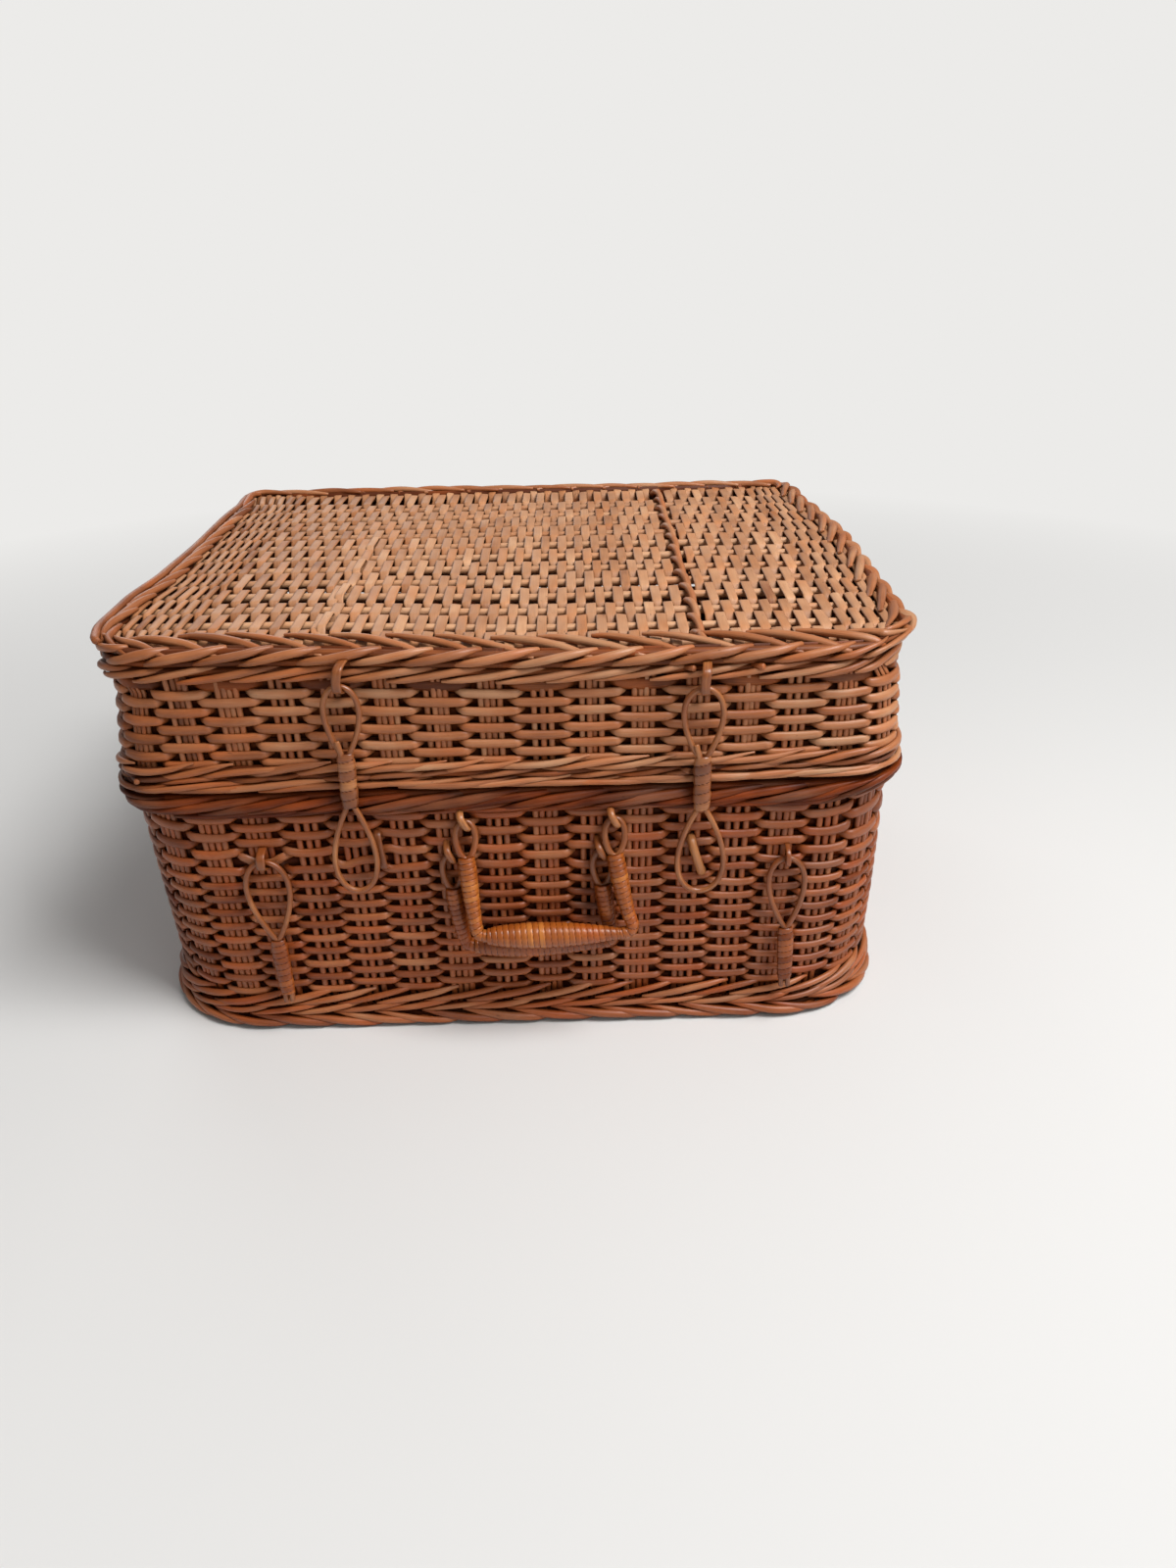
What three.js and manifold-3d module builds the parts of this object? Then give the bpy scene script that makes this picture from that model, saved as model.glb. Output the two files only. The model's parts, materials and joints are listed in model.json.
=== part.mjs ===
// A lidded wicker hamper: a woven body on a plaited foot, a woven lid that turns on two willow rings
// at the back, two cane hasps that hang over the seam, two locking pegs and a pair of carrying handles.
// Millimetres, +Z up, front towards -Y. The origin is the middle of the base's flat underside.

import * as THREE from "three";
import { ParametricGeometry } from "three/addons/geometries/ParametricGeometry.js";
import { mergeVertices } from "three/addons/utils/BufferGeometryUtils.js";
import Module from "manifold-3d";

const wasm = await Module();
wasm.setup();

// ---------------------------------------------------------------------------------------------
// Driving dimensions
// ---------------------------------------------------------------------------------------------

// Woven shell
const basketWidth = 400; // over the outer faces of the side walls
const basketDepth = 332; // over the outer faces of the front and back walls
const bodyHeight = 145; // floor to the top of the body's border
const lidHeight = 78; // bottom of the lid's border to the top of its upper border
const wallThickness = 8; // stakes with a weaver on each side
const footCornerRadius = 60; // outer corner of the weave at the floor
const wallRimCornerRadius = 52; // outer corner of the body's weave, carried up to the rim
const rimCornerRadius = 40; // outer corner of the borders at the seam and of the lid
const fitGap = 0.3; // clearance between pieces that sit on or in each other

// Weave of the body's wall: ribs where the weavers pass before a group of stakes
const stakeGroups = 58; // round the basket
const firstGroup = -0.25; // from the middle of the front, in steps from one group to the next
const ribHalfWidth = 0.27; // in the same steps
const weaveSink = 2.7; // depth of the weave between two groups

// Borders and wales
const footBorderHeight = 16;
const footBorderBulge = 5.5; // how far the foot stands out of the wall
const footWaleHeight = 13;
const footWaleBulge = 3.5;
const rimBorderHeight = 12.5;
const lidRimBorderHeight = 16;
const rimBorderBulge = 4.5; // both borders at the seam
const lidTopBorderHeight = 21;
const lidTopBorderBulge = 4;
const borderRounding = 3; // bevel that rounds every border's edges

// Woven panels
const basePlateThickness = 5; // strips under and between the base's sticks
const lidPlateThickness = 2; // strips between two of the lid's sticks
const stickDiameter = 8; // willow sticks that the strips are woven round
const lidStickCount = 13;
const baseStickCount = 12;
const lidOpenRows = [2, 3, 11]; // rows between sticks where the strips stand apart, from the front
const openingWidth = 5.2;
const openingLength = 9;
const openingPitch = 10.2; // two strips
const openingField = 155; // how far the openings go to each side of the middle
const panelDrop = 3; // top of the lid's sticks below the top of its border

// Hinge rings
const hingeRingDistance = 90; // from each side wall's outer face
const hingeRingRadius = 17;
const hingeRingCane = 3; // diameter
const hingeAxisOut = 0.5; // hinge line behind the borders' outer faces
const ringClearance = 0.5; // round a ring, in the weave that turns on it

// Staples: cane arches that carry the hanging pieces
const stapleCane = 2.6; // diameter
const stapleDepth = 6; // legs in the weave
const eyeClearance = 0.6; // between a staple and the cane that hangs in it
const hangingOut = 3; // hanging cane's centre in front of the wall

// Hasps: long cane loops pinched at the seam. An inset is from the side wall's outer face, a drop is
// from the lid's top, and a lean is in degrees to the right.
const loopCane = 2.8; // diameter
const haspBindingLength = 28;
const bindingWall = 1.2; // thickness of a wrapped binding
const hasps = {
  left: {
    inset: 122.5,
    drop: 19.3,
    upperLoop: 36,
    lowerLoop: 50,
    upperWidth: 19.5,
    lowerWidth: 23.5,
    lean: -1.2,
  },
  right: {
    inset: 104.5,
    drop: 24.3,
    upperLoop: 37,
    lowerLoop: 49,
    upperWidth: 21,
    lowerWidth: 26,
    lean: 0.4,
  },
};
const haspStapleRise = 5; // straight front of the tall staples in the lid's border

// Catches: low staples that the hasps' lower loops lie over; a drop is from the body's rim
const catches = {
  left: { inset: 132.5, drop: 35, height: 19 },
  right: { inset: 105, drop: 42.5, height: 17 },
};
const catchOut = 3.6; // catch cane's centre in front of the wall

// Locking pegs: cane loops with a bound stem; a drop is from the body's rim
const pegs = {
  left: { inset: 71.5, drop: 39, loop: 47, stem: 37, width: 25, lean: 2.6 },
  right: { inset: 58, drop: 44, loop: 42, stem: 35, width: 21.5, lean: 1.6 },
};
const pegBareEnd = 5; // cane ends below the binding

// Carrying handles: the outer one hangs over the inner one; a drop is from the body's rim
const handleCore = 4.4; // diameter of the bent cane inside the wrapping
const handleEye = 2.8; // diameter of the cane round each eye
const eyeHeight = 20;
const eyeWidth = 10.5; // between cane centres
const gripDiameter = 14.4; // at the middle of the spindle
const gripEndDiameter = 6.4;
const legWrapDiameter = 9.2; // below the eye
const legWrapEndDiameter = 6.6; // at the corner
const cornerBend = 6; // bend radius between leg and grip
const handles = {
  outer: { drop: 18, length: 62.5, eyes: [-23.5, 52.5], corners: [-20, 61] },
  inner: { drop: 37, length: 54, eyes: [-34.5, 43], corners: [-30.5, 48] },
};

// Facets
const cornerSteps = 8;
const caneSides = 8;
const wrapSides = 12;

// ---------------------------------------------------------------------------------------------
// Levels and places that follow from them
// ---------------------------------------------------------------------------------------------

const halfWidth = basketWidth / 2;
const halfDepth = basketDepth / 2;
const footTop = footBorderHeight;
const waleTop = footTop + footWaleHeight;
const bodyRimBottom = bodyHeight - rimBorderHeight;
const lidBottom = bodyHeight + fitGap;
const lidRimTop = lidBottom + lidRimBorderHeight;
const lidTop = lidBottom + lidHeight;
const lidTopBorderBottom = lidTop - lidTopBorderHeight;
const lidStickAxis = lidTop - panelDrop - stickDiameter / 2;

const sides = ["left", "right"];
const insetX = (side, inset) => (side === "left" ? inset - halfWidth : halfWidth - inset);
const hingeLine = { y: halfDepth + rimBorderBulge + hingeAxisOut, z: bodyHeight + fitGap / 2 };
const stapleBend = loopCane / 2 + eyeClearance + stapleCane / 2;
const bindingDepth = loopCane / 2 + fitGap + bindingWall;
const haspPlane = -(halfDepth + rimBorderBulge + fitGap + bindingDepth);
const hangingPlane = -(halfDepth + hangingOut);
const caneSpread = loopCane / 2 + fitGap / 2; // half the distance between two bound canes

// ---------------------------------------------------------------------------------------------
// Materials
// ---------------------------------------------------------------------------------------------

const willow = (color) => new THREE.MeshStandardMaterial({ color, roughness: 0.62, metalness: 0 });
const bodyWillow = () => willow(0x9a5a34);
const lidWillow = () => willow(0xb07a4e);
const peeledWillow = () => willow(0xc79a6c);
const cane = () => willow(0xa5673a);
const glossyWrap = () => new THREE.MeshStandardMaterial({ color: 0xb8672c, roughness: 0.4, metalness: 0 });

// ---------------------------------------------------------------------------------------------
// Geometry helpers
// ---------------------------------------------------------------------------------------------

// Shared vertices merged and faces turned outwards.
function closed(geometry) {
  geometry.deleteAttribute("normal");
  geometry.deleteAttribute("uv");
  const merged = mergeVertices(geometry, 1e-4);
  const at = merged.getAttribute("position");
  const index = merged.getIndex();
  const [a, b, c] = [new THREE.Vector3(), new THREE.Vector3(), new THREE.Vector3()];
  const kept = [];
  let volume = 0;
  for (let i = 0; i < index.count; i += 3) {
    const corners = [index.getX(i), index.getX(i + 1), index.getX(i + 2)];
    if (new Set(corners).size === 3) {
      kept.push(...corners);
      a.fromBufferAttribute(at, corners[0]);
      b.fromBufferAttribute(at, corners[1]);
      c.fromBufferAttribute(at, corners[2]);
      volume += a.dot(b.cross(c));
    }
  }
  merged.setIndex(volume < 0 ? kept.reverse() : kept);
  return merged;
}

function solidOf(geometry) {
  const vertProperties = new Float32Array(geometry.getAttribute("position").array);
  const triVerts = new Uint32Array(geometry.getIndex().array);
  return new wasm.Manifold(new wasm.Mesh({ numProp: 3, vertProperties, triVerts }));
}

function geometryOf(solid) {
  const mesh = solid.getMesh();
  const geometry = new THREE.BufferGeometry();
  geometry.setAttribute("position", new THREE.BufferAttribute(mesh.vertProperties, 3));
  geometry.setIndex(new THREE.BufferAttribute(mesh.triVerts, 1));
  return geometry;
}

function cut(geometry, cutters) {
  return geometryOf(cutters.reduce((solid, cutter) => solid.subtract(solidOf(cutter)), solidOf(geometry)));
}

function joined(geometries) {
  return geometryOf(geometries.map(solidOf).reduce((whole, solid) => whole.add(solid)));
}

// Rounded rectangle, counter-clockwise, with the same number of points at every size.
function outline(halfX, halfY, radius) {
  const points = [];
  for (let corner = 0; corner < 4; corner += 1) {
    const signX = corner === 0 || corner === 3 ? 1 : -1;
    const signY = corner < 2 ? 1 : -1;
    for (let step = 0; step <= cornerSteps; step += 1) {
      const angle = ((corner + step / cornerSteps) * Math.PI) / 2;
      const x = signX * (halfX - radius) + radius * Math.cos(angle);
      const y = signY * (halfY - radius) + radius * Math.sin(angle);
      points.push(new THREE.Vector2(x, y));
    }
  }
  return points;
}

// Outer corner radius of the body's weave: it tightens from the foot to the rim.
function bodyCorner(z) {
  return THREE.MathUtils.mapLinear(z, 0, bodyHeight, footCornerRadius, wallRimCornerRadius);
}

const rimCorner = () => rimCornerRadius;

// Point of the same outline at a share of the way round, counter-clockwise from the middle of the front.
function outlineAt(share, halfX, halfY, radius) {
  const turns = 4 * (share - Math.floor(share));
  const side = Math.floor(turns);
  const [ahead, beside] = side % 2 === 0 ? [halfX, halfY] : [halfY, halfX];
  const run = (turns - side) * (ahead + beside - (2 - Math.PI / 2) * radius);
  const angle = THREE.MathUtils.clamp((run - ahead + radius) / radius, 0, Math.PI / 2);
  const beforeCorner = Math.min(run, ahead - radius);
  const afterCorner = Math.max(run - (ahead - radius) - (radius * Math.PI) / 2, 0);
  const along = beforeCorner + radius * Math.sin(angle);
  const outward = beside - radius - afterCorner + radius * Math.cos(angle);
  return new THREE.Vector2(along, -outward).rotateAround(new THREE.Vector2(), (side * Math.PI) / 2);
}

// A closed band through loops that have the same number of points.
function bandThrough(loops) {
  const around = loops[0].length;
  const surface = (u, v, target) => {
    const loop = loops[Math.round(v * loops.length) % loops.length];
    target.copy(loop[Math.round(u * around) % around]);
  };
  return closed(new ParametricGeometry(surface, around, loops.length));
}

// A smooth band round the basket. Each profile point is [distance out of the wall's face, height].
function band(profile, cornerAt) {
  const loops = profile.map(([out, z]) => {
    const flat = outline(halfWidth + out, halfDepth + out, cornerAt(z) + out);
    return flat.map((p) => new THREE.Vector3(p.x, p.y, z));
  });
  return bandThrough(loops);
}

// Profile of a border: straight inside, rounded outside.
function borderProfile(bottom, top, bulge) {
  return [
    [-wallThickness, bottom],
    [bulge - borderRounding, bottom],
    [bulge, bottom + borderRounding],
    [bulge, top - borderRounding],
    [bulge - borderRounding, top],
    [-wallThickness, top],
  ];
}

function plainWall(bottom, top, cornerAt) {
  const profile = [
    [-wallThickness, bottom],
    [0, bottom],
    [0, top],
    [-wallThickness, top],
  ];
  return band(profile, cornerAt);
}

// A wall, flat inside, whose outer face has a rib at every group of stakes and sinks between the ribs.
function ribbedWall(bottom, top, cornerAt) {
  const rib = [
    { place: -ribHalfWidth, depth: 0 },
    { place: ribHalfWidth, depth: 0 },
    { place: 0.5, depth: weaveSink },
  ];
  const loopAt = (z, depthOf) => {
    const loop = [];
    for (let group = 0; group < stakeGroups; group += 1) {
      for (const point of rib) {
        const share = (firstGroup + group + point.place) / stakeGroups;
        const depth = depthOf(point);
        const flat = outlineAt(share, halfWidth - depth, halfDepth - depth, cornerAt(z) - depth);
        loop.push(new THREE.Vector3(flat.x, flat.y, z));
      }
    }
    return loop;
  };
  const inside = () => wallThickness;
  const outside = (point) => point.depth;
  return bandThrough([
    loopAt(bottom, inside),
    loopAt(bottom, outside),
    loopAt(top, outside),
    loopAt(top, inside),
  ]);
}

// A path whose sweep has a step on every given point.
class PointPath extends THREE.Curve {
  constructor(points, closedLoop = false) {
    super();
    this.points = points;
    this.closedLoop = closedLoop;
    this.spans = closedLoop ? points.length : points.length - 1;
  }

  pointAtStep(step) {
    const count = this.points.length;
    const place = this.closedLoop ? (step + count) % count : THREE.MathUtils.clamp(step, 0, count - 1);
    return this.points[place];
  }

  getPoint(t, target = new THREE.Vector3()) {
    const place = t * this.spans;
    const step = Math.floor(place + 1e-9);
    return target.lerpVectors(this.pointAtStep(step), this.pointAtStep(step + 1), Math.max(0, place - step));
  }

  getPointAt(t, target) {
    return this.getPoint(t, target);
  }

  getTangentAt(t, target = new THREE.Vector3()) {
    const step = Math.round(t * this.spans);
    return target.subVectors(this.pointAtStep(step + 1), this.pointAtStep(step - 1)).normalize();
  }
}

function circleShape(radius, sides) {
  const points = [];
  for (let side = 0; side < sides; side += 1) {
    const angle = ((side + 0.5) * 2 * Math.PI) / sides;
    points.push(new THREE.Vector2(radius * Math.cos(angle), radius * Math.sin(angle)));
  }
  return new THREE.Shape(points);
}

function openCane(points, diameter) {
  const path = new PointPath(points);
  const shape = circleShape(diameter / 2, caneSides);
  return closed(new THREE.ExtrudeGeometry(shape, { steps: path.spans, extrudePath: path }));
}

function closedCane(points, diameter) {
  const path = new PointPath(points, true);
  return closed(new THREE.TubeGeometry(path, path.spans, diameter / 2, caneSides, true));
}

const onWall = (x, z) => new THREE.Vector3(x, 0, z);

function namedMesh(parent, name, geometry, material) {
  const mesh = new THREE.Mesh(geometry, material);
  mesh.name = name;
  parent.add(mesh);
  return mesh;
}

// ---------------------------------------------------------------------------------------------
// Staples and hinge rings, each with the cutter that makes room for it in the weave
// ---------------------------------------------------------------------------------------------

const quarterSteps = 4;

// Arch in a plane square to the wall. Its bend is centred on the point that hangs in it; a rise
// lengthens the front upwards. A positive extra makes the cutter.
function stapleArch(x, y, z, rise, extra = 0) {
  const root = -(halfDepth - stapleDepth - extra);
  const points = [new THREE.Vector3(x, root, z + rise + stapleBend)];
  for (let step = 0; step <= quarterSteps; step += 1) {
    const angle = (step / quarterSteps) * (Math.PI / 2);
    const out = stapleBend * Math.sin(angle);
    points.push(new THREE.Vector3(x, y - out, z + rise + stapleBend * Math.cos(angle)));
  }
  for (let step = rise > 0 ? 0 : 1; step <= quarterSteps; step += 1) {
    const angle = (step / quarterSteps) * (Math.PI / 2);
    const out = stapleBend * Math.cos(angle);
    points.push(new THREE.Vector3(x, y - out, z - stapleBend * Math.sin(angle)));
  }
  points.push(new THREE.Vector3(x, root, z - stapleBend));
  return openCane(points, stapleCane + 2 * extra);
}

// Low flat-topped arch for a hasp's loop to lie over.
function catchArch(side, extra = 0) {
  const { inset, drop, height } = catches[side];
  const x = insetX(side, inset);
  const middle = bodyHeight - drop;
  const root = -(halfDepth - stapleDepth - extra);
  const out = -(halfDepth + catchOut);
  const half = height / 2;
  const points = [
    new THREE.Vector3(x, root, middle + half),
    new THREE.Vector3(x, -halfDepth, middle + half),
    new THREE.Vector3(x, out + catchOut * 0.3, middle + half * 0.92),
    new THREE.Vector3(x, out, middle + half * 0.6),
    new THREE.Vector3(x, out, middle - half * 0.6),
    new THREE.Vector3(x, out + catchOut * 0.3, middle - half * 0.92),
    new THREE.Vector3(x, -halfDepth, middle - half),
    new THREE.Vector3(x, root, middle - half),
  ];
  return openCane(points, stapleCane + 2 * extra);
}

function hingeRing(side, extra = 0) {
  const ringSteps = 32;
  const ring = new THREE.TorusGeometry(hingeRingRadius, hingeRingCane / 2 + extra, caneSides, ringSteps);
  ring.rotateY(Math.PI / 2);
  ring.translate(insetX(side, hingeRingDistance), hingeLine.y, hingeLine.z);
  return closed(ring);
}

const bodyStapleSpots = {};
const lidStapleSpots = {};
for (const side of sides) {
  const hasp = hasps[side];
  const haspX = insetX(side, hasp.inset);
  lidStapleSpots[`hasp_${side}_staple`] = [haspX, haspPlane, lidTop - hasp.drop, haspStapleRise];
  const peg = pegs[side];
  const pegX = insetX(side, peg.inset);
  bodyStapleSpots[`peg_${side}_staple`] = [pegX, hangingPlane, bodyHeight - peg.drop, 0];
}
for (const rank of ["outer", "inner"]) {
  for (const [place, side] of sides.entries()) {
    const { eyes, drop } = handles[rank];
    bodyStapleSpots[`handle_${rank}_staple_${side}`] = [eyes[place], hangingPlane, bodyHeight - drop, 0];
  }
}

const hingeRingCutters = sides.map((side) => hingeRing(side, ringClearance));
const lidStapleCutters = Object.values(lidStapleSpots).map((spot) => stapleArch(...spot, fitGap));
const bodyCutters = [
  ...hingeRingCutters,
  ...Object.values(bodyStapleSpots).map((spot) => stapleArch(...spot, fitGap)),
  ...sides.map((side) => catchArch(side, fitGap)),
];
const lidCutters = [...hingeRingCutters, ...lidStapleCutters];

// ---------------------------------------------------------------------------------------------
// Woven shell
// ---------------------------------------------------------------------------------------------

// Strips woven round a row of sticks: a plate through the sticks, open in some of the rows.
function wovenPanel(cornerRadius, plateBottom, plateThickness, stickAxis, stickCount, openRows = []) {
  const inset = wallThickness + fitGap;
  const halfX = halfWidth - inset;
  const halfY = halfDepth - inset;
  const shape = new THREE.Shape(outline(halfX, halfY, cornerRadius - inset));
  const plate = new THREE.ExtrudeGeometry(shape, { depth: plateThickness, bevelEnabled: false });
  plate.translate(0, 0, plateBottom);
  const pitch = (2 * halfY) / stickCount;
  const parts = [closed(plate)];
  for (let row = 0; row < stickCount; row += 1) {
    const y = (row + 0.5) * pitch - halfY;
    const intoCorner = Math.max(0, Math.abs(y) + stickDiameter / 2 - (halfY - cornerRadius + inset));
    const cornerReach = cornerRadius - inset;
    const shorter = cornerReach - Math.sqrt(Math.max(0, cornerReach ** 2 - intoCorner ** 2));
    const reach = halfX - shorter - fitGap;
    const stick = new THREE.CylinderGeometry(stickDiameter / 2, stickDiameter / 2, 2 * reach, caneSides);
    stick.rotateZ(Math.PI / 2);
    stick.translate(0, y, stickAxis);
    parts.push(closed(stick));
  }
  const openings = openRows.flatMap((row) => rowOfOpenings((row + 1) * pitch - halfY, stickAxis));
  return cut(joined(parts), openings);
}

// Cutters for the openings between two sticks.
function rowOfOpenings(y, z) {
  const cutters = [];
  for (let x = -openingField; x <= openingField; x += openingPitch) {
    const opening = new THREE.BoxGeometry(openingWidth, openingLength, 2 * lidPlateThickness);
    opening.translate(x, y, z);
    cutters.push(closed(opening));
  }
  return cutters;
}

const basket = new THREE.Group();
const lid = new THREE.Group();
basket.add(lid);

function addBody() {
  const sitting = (bottom) => bottom + fitGap;
  const baseStickAxis = stickDiameter / 2;
  namedMesh(
    basket,
    "base_panel",
    wovenPanel(footCornerRadius, 0, basePlateThickness, baseStickAxis, baseStickCount),
    peeledWillow(),
  );
  namedMesh(
    basket,
    "foot_border",
    band(borderProfile(0, footTop, footBorderBulge), bodyCorner),
    bodyWillow(),
  );
  namedMesh(
    basket,
    "foot_wale",
    band(borderProfile(sitting(footTop), waleTop, footWaleBulge), bodyCorner),
    bodyWillow(),
  );
  namedMesh(
    basket,
    "body_wall",
    cut(ribbedWall(sitting(waleTop), bodyRimBottom, bodyCorner), bodyCutters),
    bodyWillow(),
  );
  namedMesh(
    basket,
    "body_top_border",
    cut(band(borderProfile(sitting(bodyRimBottom), bodyHeight, rimBorderBulge), rimCorner), bodyCutters),
    bodyWillow(),
  );
}

function addLid() {
  const sitting = (bottom) => bottom + fitGap;
  namedMesh(
    lid,
    "lid_bottom_border",
    cut(band(borderProfile(lidBottom, lidRimTop, rimBorderBulge), rimCorner), lidCutters),
    lidWillow(),
  );
  namedMesh(
    lid,
    "lid_wall",
    cut(plainWall(sitting(lidRimTop), lidTopBorderBottom, rimCorner), lidCutters),
    lidWillow(),
  );
  const topProfile = borderProfile(sitting(lidTopBorderBottom), lidTop, lidTopBorderBulge);
  namedMesh(lid, "lid_top_border", cut(band(topProfile, rimCorner), lidStapleCutters), lidWillow());
  const plateBottom = lidStickAxis - lidPlateThickness / 2;
  namedMesh(
    lid,
    "lid_panel",
    wovenPanel(rimCornerRadius, plateBottom, lidPlateThickness, lidStickAxis, lidStickCount, lidOpenRows),
    peeledWillow(),
  );
}

function addRingsAndStaples() {
  for (const [name, spot] of Object.entries(bodyStapleSpots)) {
    namedMesh(basket, name, stapleArch(...spot), cane());
  }
  for (const [name, spot] of Object.entries(lidStapleSpots)) {
    namedMesh(lid, name, stapleArch(...spot), cane());
  }
  for (const side of sides) {
    namedMesh(basket, `hinge_ring_${side}`, hingeRing(side), cane());
    namedMesh(basket, `hasp_${side}_catch`, catchArch(side), cane());
  }
}

// ---------------------------------------------------------------------------------------------
// Hanging pieces, each in a group at its staple: local -Z hangs down, +Y faces the wall
// ---------------------------------------------------------------------------------------------

const loopSteps = 12;

// One side of a bent loop, from its round end to where its canes meet.
function loopSide(length, width, side) {
  const fullness = 1.3;
  const points = [];
  for (let step = 0; step <= loopSteps; step += 1) {
    const t = (step / loopSteps) * Math.PI;
    const belly = ((width - loopCane) / 2) * fullness * Math.sin(t) * Math.cos(t / 2);
    const pinch = caneSpread * Math.min(1, step / loopSteps);
    points.push(onWall(side * (belly + pinch * Math.sin(t / 2)), (-length * (1 - Math.cos(t))) / 2));
  }
  return points;
}

// Wrapped sleeve round two canes that lie side by side.
function binding(length, top) {
  const stadium = (grow) => {
    const radius = loopCane / 2 + grow;
    const path = [];
    for (let step = 0; step < 2 * wrapSides; step += 1) {
      const angle = ((step + 0.5) * Math.PI) / wrapSides;
      const shift = Math.cos(angle) > 0 ? caneSpread : -caneSpread;
      path.push(new THREE.Vector2(shift + radius * Math.cos(angle), radius * Math.sin(angle)));
    }
    return path;
  };
  const shape = new THREE.Shape(stadium(fitGap + bindingWall));
  shape.holes.push(new THREE.Path(stadium(fitGap)));
  const sleeve = new THREE.ExtrudeGeometry(shape, { depth: length, bevelEnabled: false });
  sleeve.translate(0, 0, top - length);
  return closed(sleeve);
}

function hangingGroup(parent, x, y, z, outwardTilt, leanDegrees) {
  const group = new THREE.Group();
  group.position.set(x, y, z);
  group.rotation.set(-outwardTilt, -THREE.MathUtils.degToRad(leanDegrees), 0);
  parent.add(group);
  return group;
}

function addHasp(side) {
  const { inset, drop, upperLoop, lowerLoop, upperWidth, lowerWidth, lean } = hasps[side];
  const group = hangingGroup(lid, insetX(side, inset), haspPlane, lidTop - drop, 0, lean);
  const waist = upperLoop + haspBindingLength;
  const half = (sign) => {
    const lower = loopSide(lowerLoop, lowerWidth, sign).map((p) => onWall(p.x, -waist - lowerLoop - p.z));
    return [...loopSide(upperLoop, upperWidth, sign), ...lower.reverse()];
  };
  const rightHalf = half(1);
  const leftHalf = half(-1).slice(1, -1).reverse();
  namedMesh(group, `hasp_${side}_loop`, closedCane([...rightHalf, ...leftHalf], loopCane), cane());
  namedMesh(group, `hasp_${side}_binding`, binding(haspBindingLength, -upperLoop), cane());
}

function addPeg(side) {
  const { inset, drop, loop, stem, width, lean } = pegs[side];
  const length = loop + stem;
  const restOut = footBorderBulge + bindingDepth + fitGap;
  const tilt = Math.asin((restOut - hangingOut) / length);
  const group = hangingGroup(basket, insetX(side, inset), hangingPlane, bodyHeight - drop, tilt, lean);
  const half = (sign) => [...loopSide(loop, width, sign), onWall(sign * caneSpread, -length)];
  const path = [...half(-1).reverse(), ...half(1).slice(1)];
  namedMesh(group, `peg_${side}_loop`, openCane(path, loopCane), cane());
  namedMesh(group, `peg_${side}_binding`, binding(stem - pegBareEnd, -loop), cane());
}

function eyeLoop(x) {
  const eyeSteps = 16;
  const points = [];
  for (let step = 0; step < eyeSteps; step += 1) {
    const t = (step / eyeSteps) * 2 * Math.PI;
    const belly = (eyeWidth / 2) * Math.sin(t) * (1 + 0.2 * Math.cos(t));
    points.push(onWall(x + belly, (-eyeHeight * (1 - Math.cos(t))) / 2));
  }
  return closedCane(points, handleEye);
}

// Rounded corner between two straight runs of the handle's core.
function bend(corner, from, to) {
  const start = corner.clone().addScaledVector(from.clone().sub(corner).normalize(), cornerBend);
  const end = corner.clone().addScaledVector(to.clone().sub(corner).normalize(), cornerBend);
  return new THREE.QuadraticBezierCurve3(start, corner, end).getPoints(quarterSteps);
}

function wrapAlong(from, to, startTrim, endTrim, radiusAt) {
  const along = to.clone().sub(from);
  const length = along.length() - startTrim - endTrim;
  const rings = 6;
  const inner = handleCore / 2 + fitGap;
  const profile = [new THREE.Vector2(inner, 0)];
  for (let ring = 0; ring <= rings; ring += 1) {
    profile.push(new THREE.Vector2(radiusAt(ring / rings), (length * ring) / rings));
  }
  profile.push(new THREE.Vector2(inner, length), new THREE.Vector2(inner, 0));
  const wrap = new THREE.LatheGeometry(profile, wrapSides);
  const direction = along.normalize();
  const turn = new THREE.Quaternion().setFromUnitVectors(new THREE.Vector3(0, 1, 0), direction);
  wrap.applyQuaternion(turn);
  const start = from.clone().addScaledVector(direction, startTrim);
  wrap.translate(start.x, start.y, start.z);
  return closed(wrap);
}

function addHandle(rank, tilt) {
  const { drop, length, eyes, corners } = handles[rank];
  const group = hangingGroup(basket, 0, hangingPlane, bodyHeight - drop, tilt, 0);
  const legTops = eyes.map((x) => onWall(x, -eyeHeight));
  const legEnds = corners.map((x) => onWall(x, -length));
  const corePath = [
    legTops[0],
    ...bend(legEnds[0], legTops[0], legEnds[1]),
    ...bend(legEnds[1], legEnds[0], legTops[1]),
    legTops[1],
  ];
  const frame = joined([openCane(corePath, handleCore), eyeLoop(eyes[0]), eyeLoop(eyes[1])]);
  namedMesh(group, `handle_${rank}_frame`, frame, cane());
  const bendTrim = cornerBend + fitGap;
  const legRadius = (t) => THREE.MathUtils.lerp(legWrapDiameter, legWrapEndDiameter, t) / 2;
  const wrapStart = handleEye / 2 + fitGap + eyeClearance;
  for (const [place, side] of sides.entries()) {
    const wrap = wrapAlong(legTops[place], legEnds[place], wrapStart, bendTrim, legRadius);
    namedMesh(group, `handle_${rank}_leg_wrap_${side}`, wrap, glossyWrap());
  }
  const gripRadius = (t) => THREE.MathUtils.lerp(gripEndDiameter, gripDiameter, Math.sin(t * Math.PI)) / 2;
  const grip = wrapAlong(legEnds[0], legEnds[1], bendTrim, bendTrim, gripRadius);
  namedMesh(group, `handle_${rank}_grip`, grip, glossyWrap());
}

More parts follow.
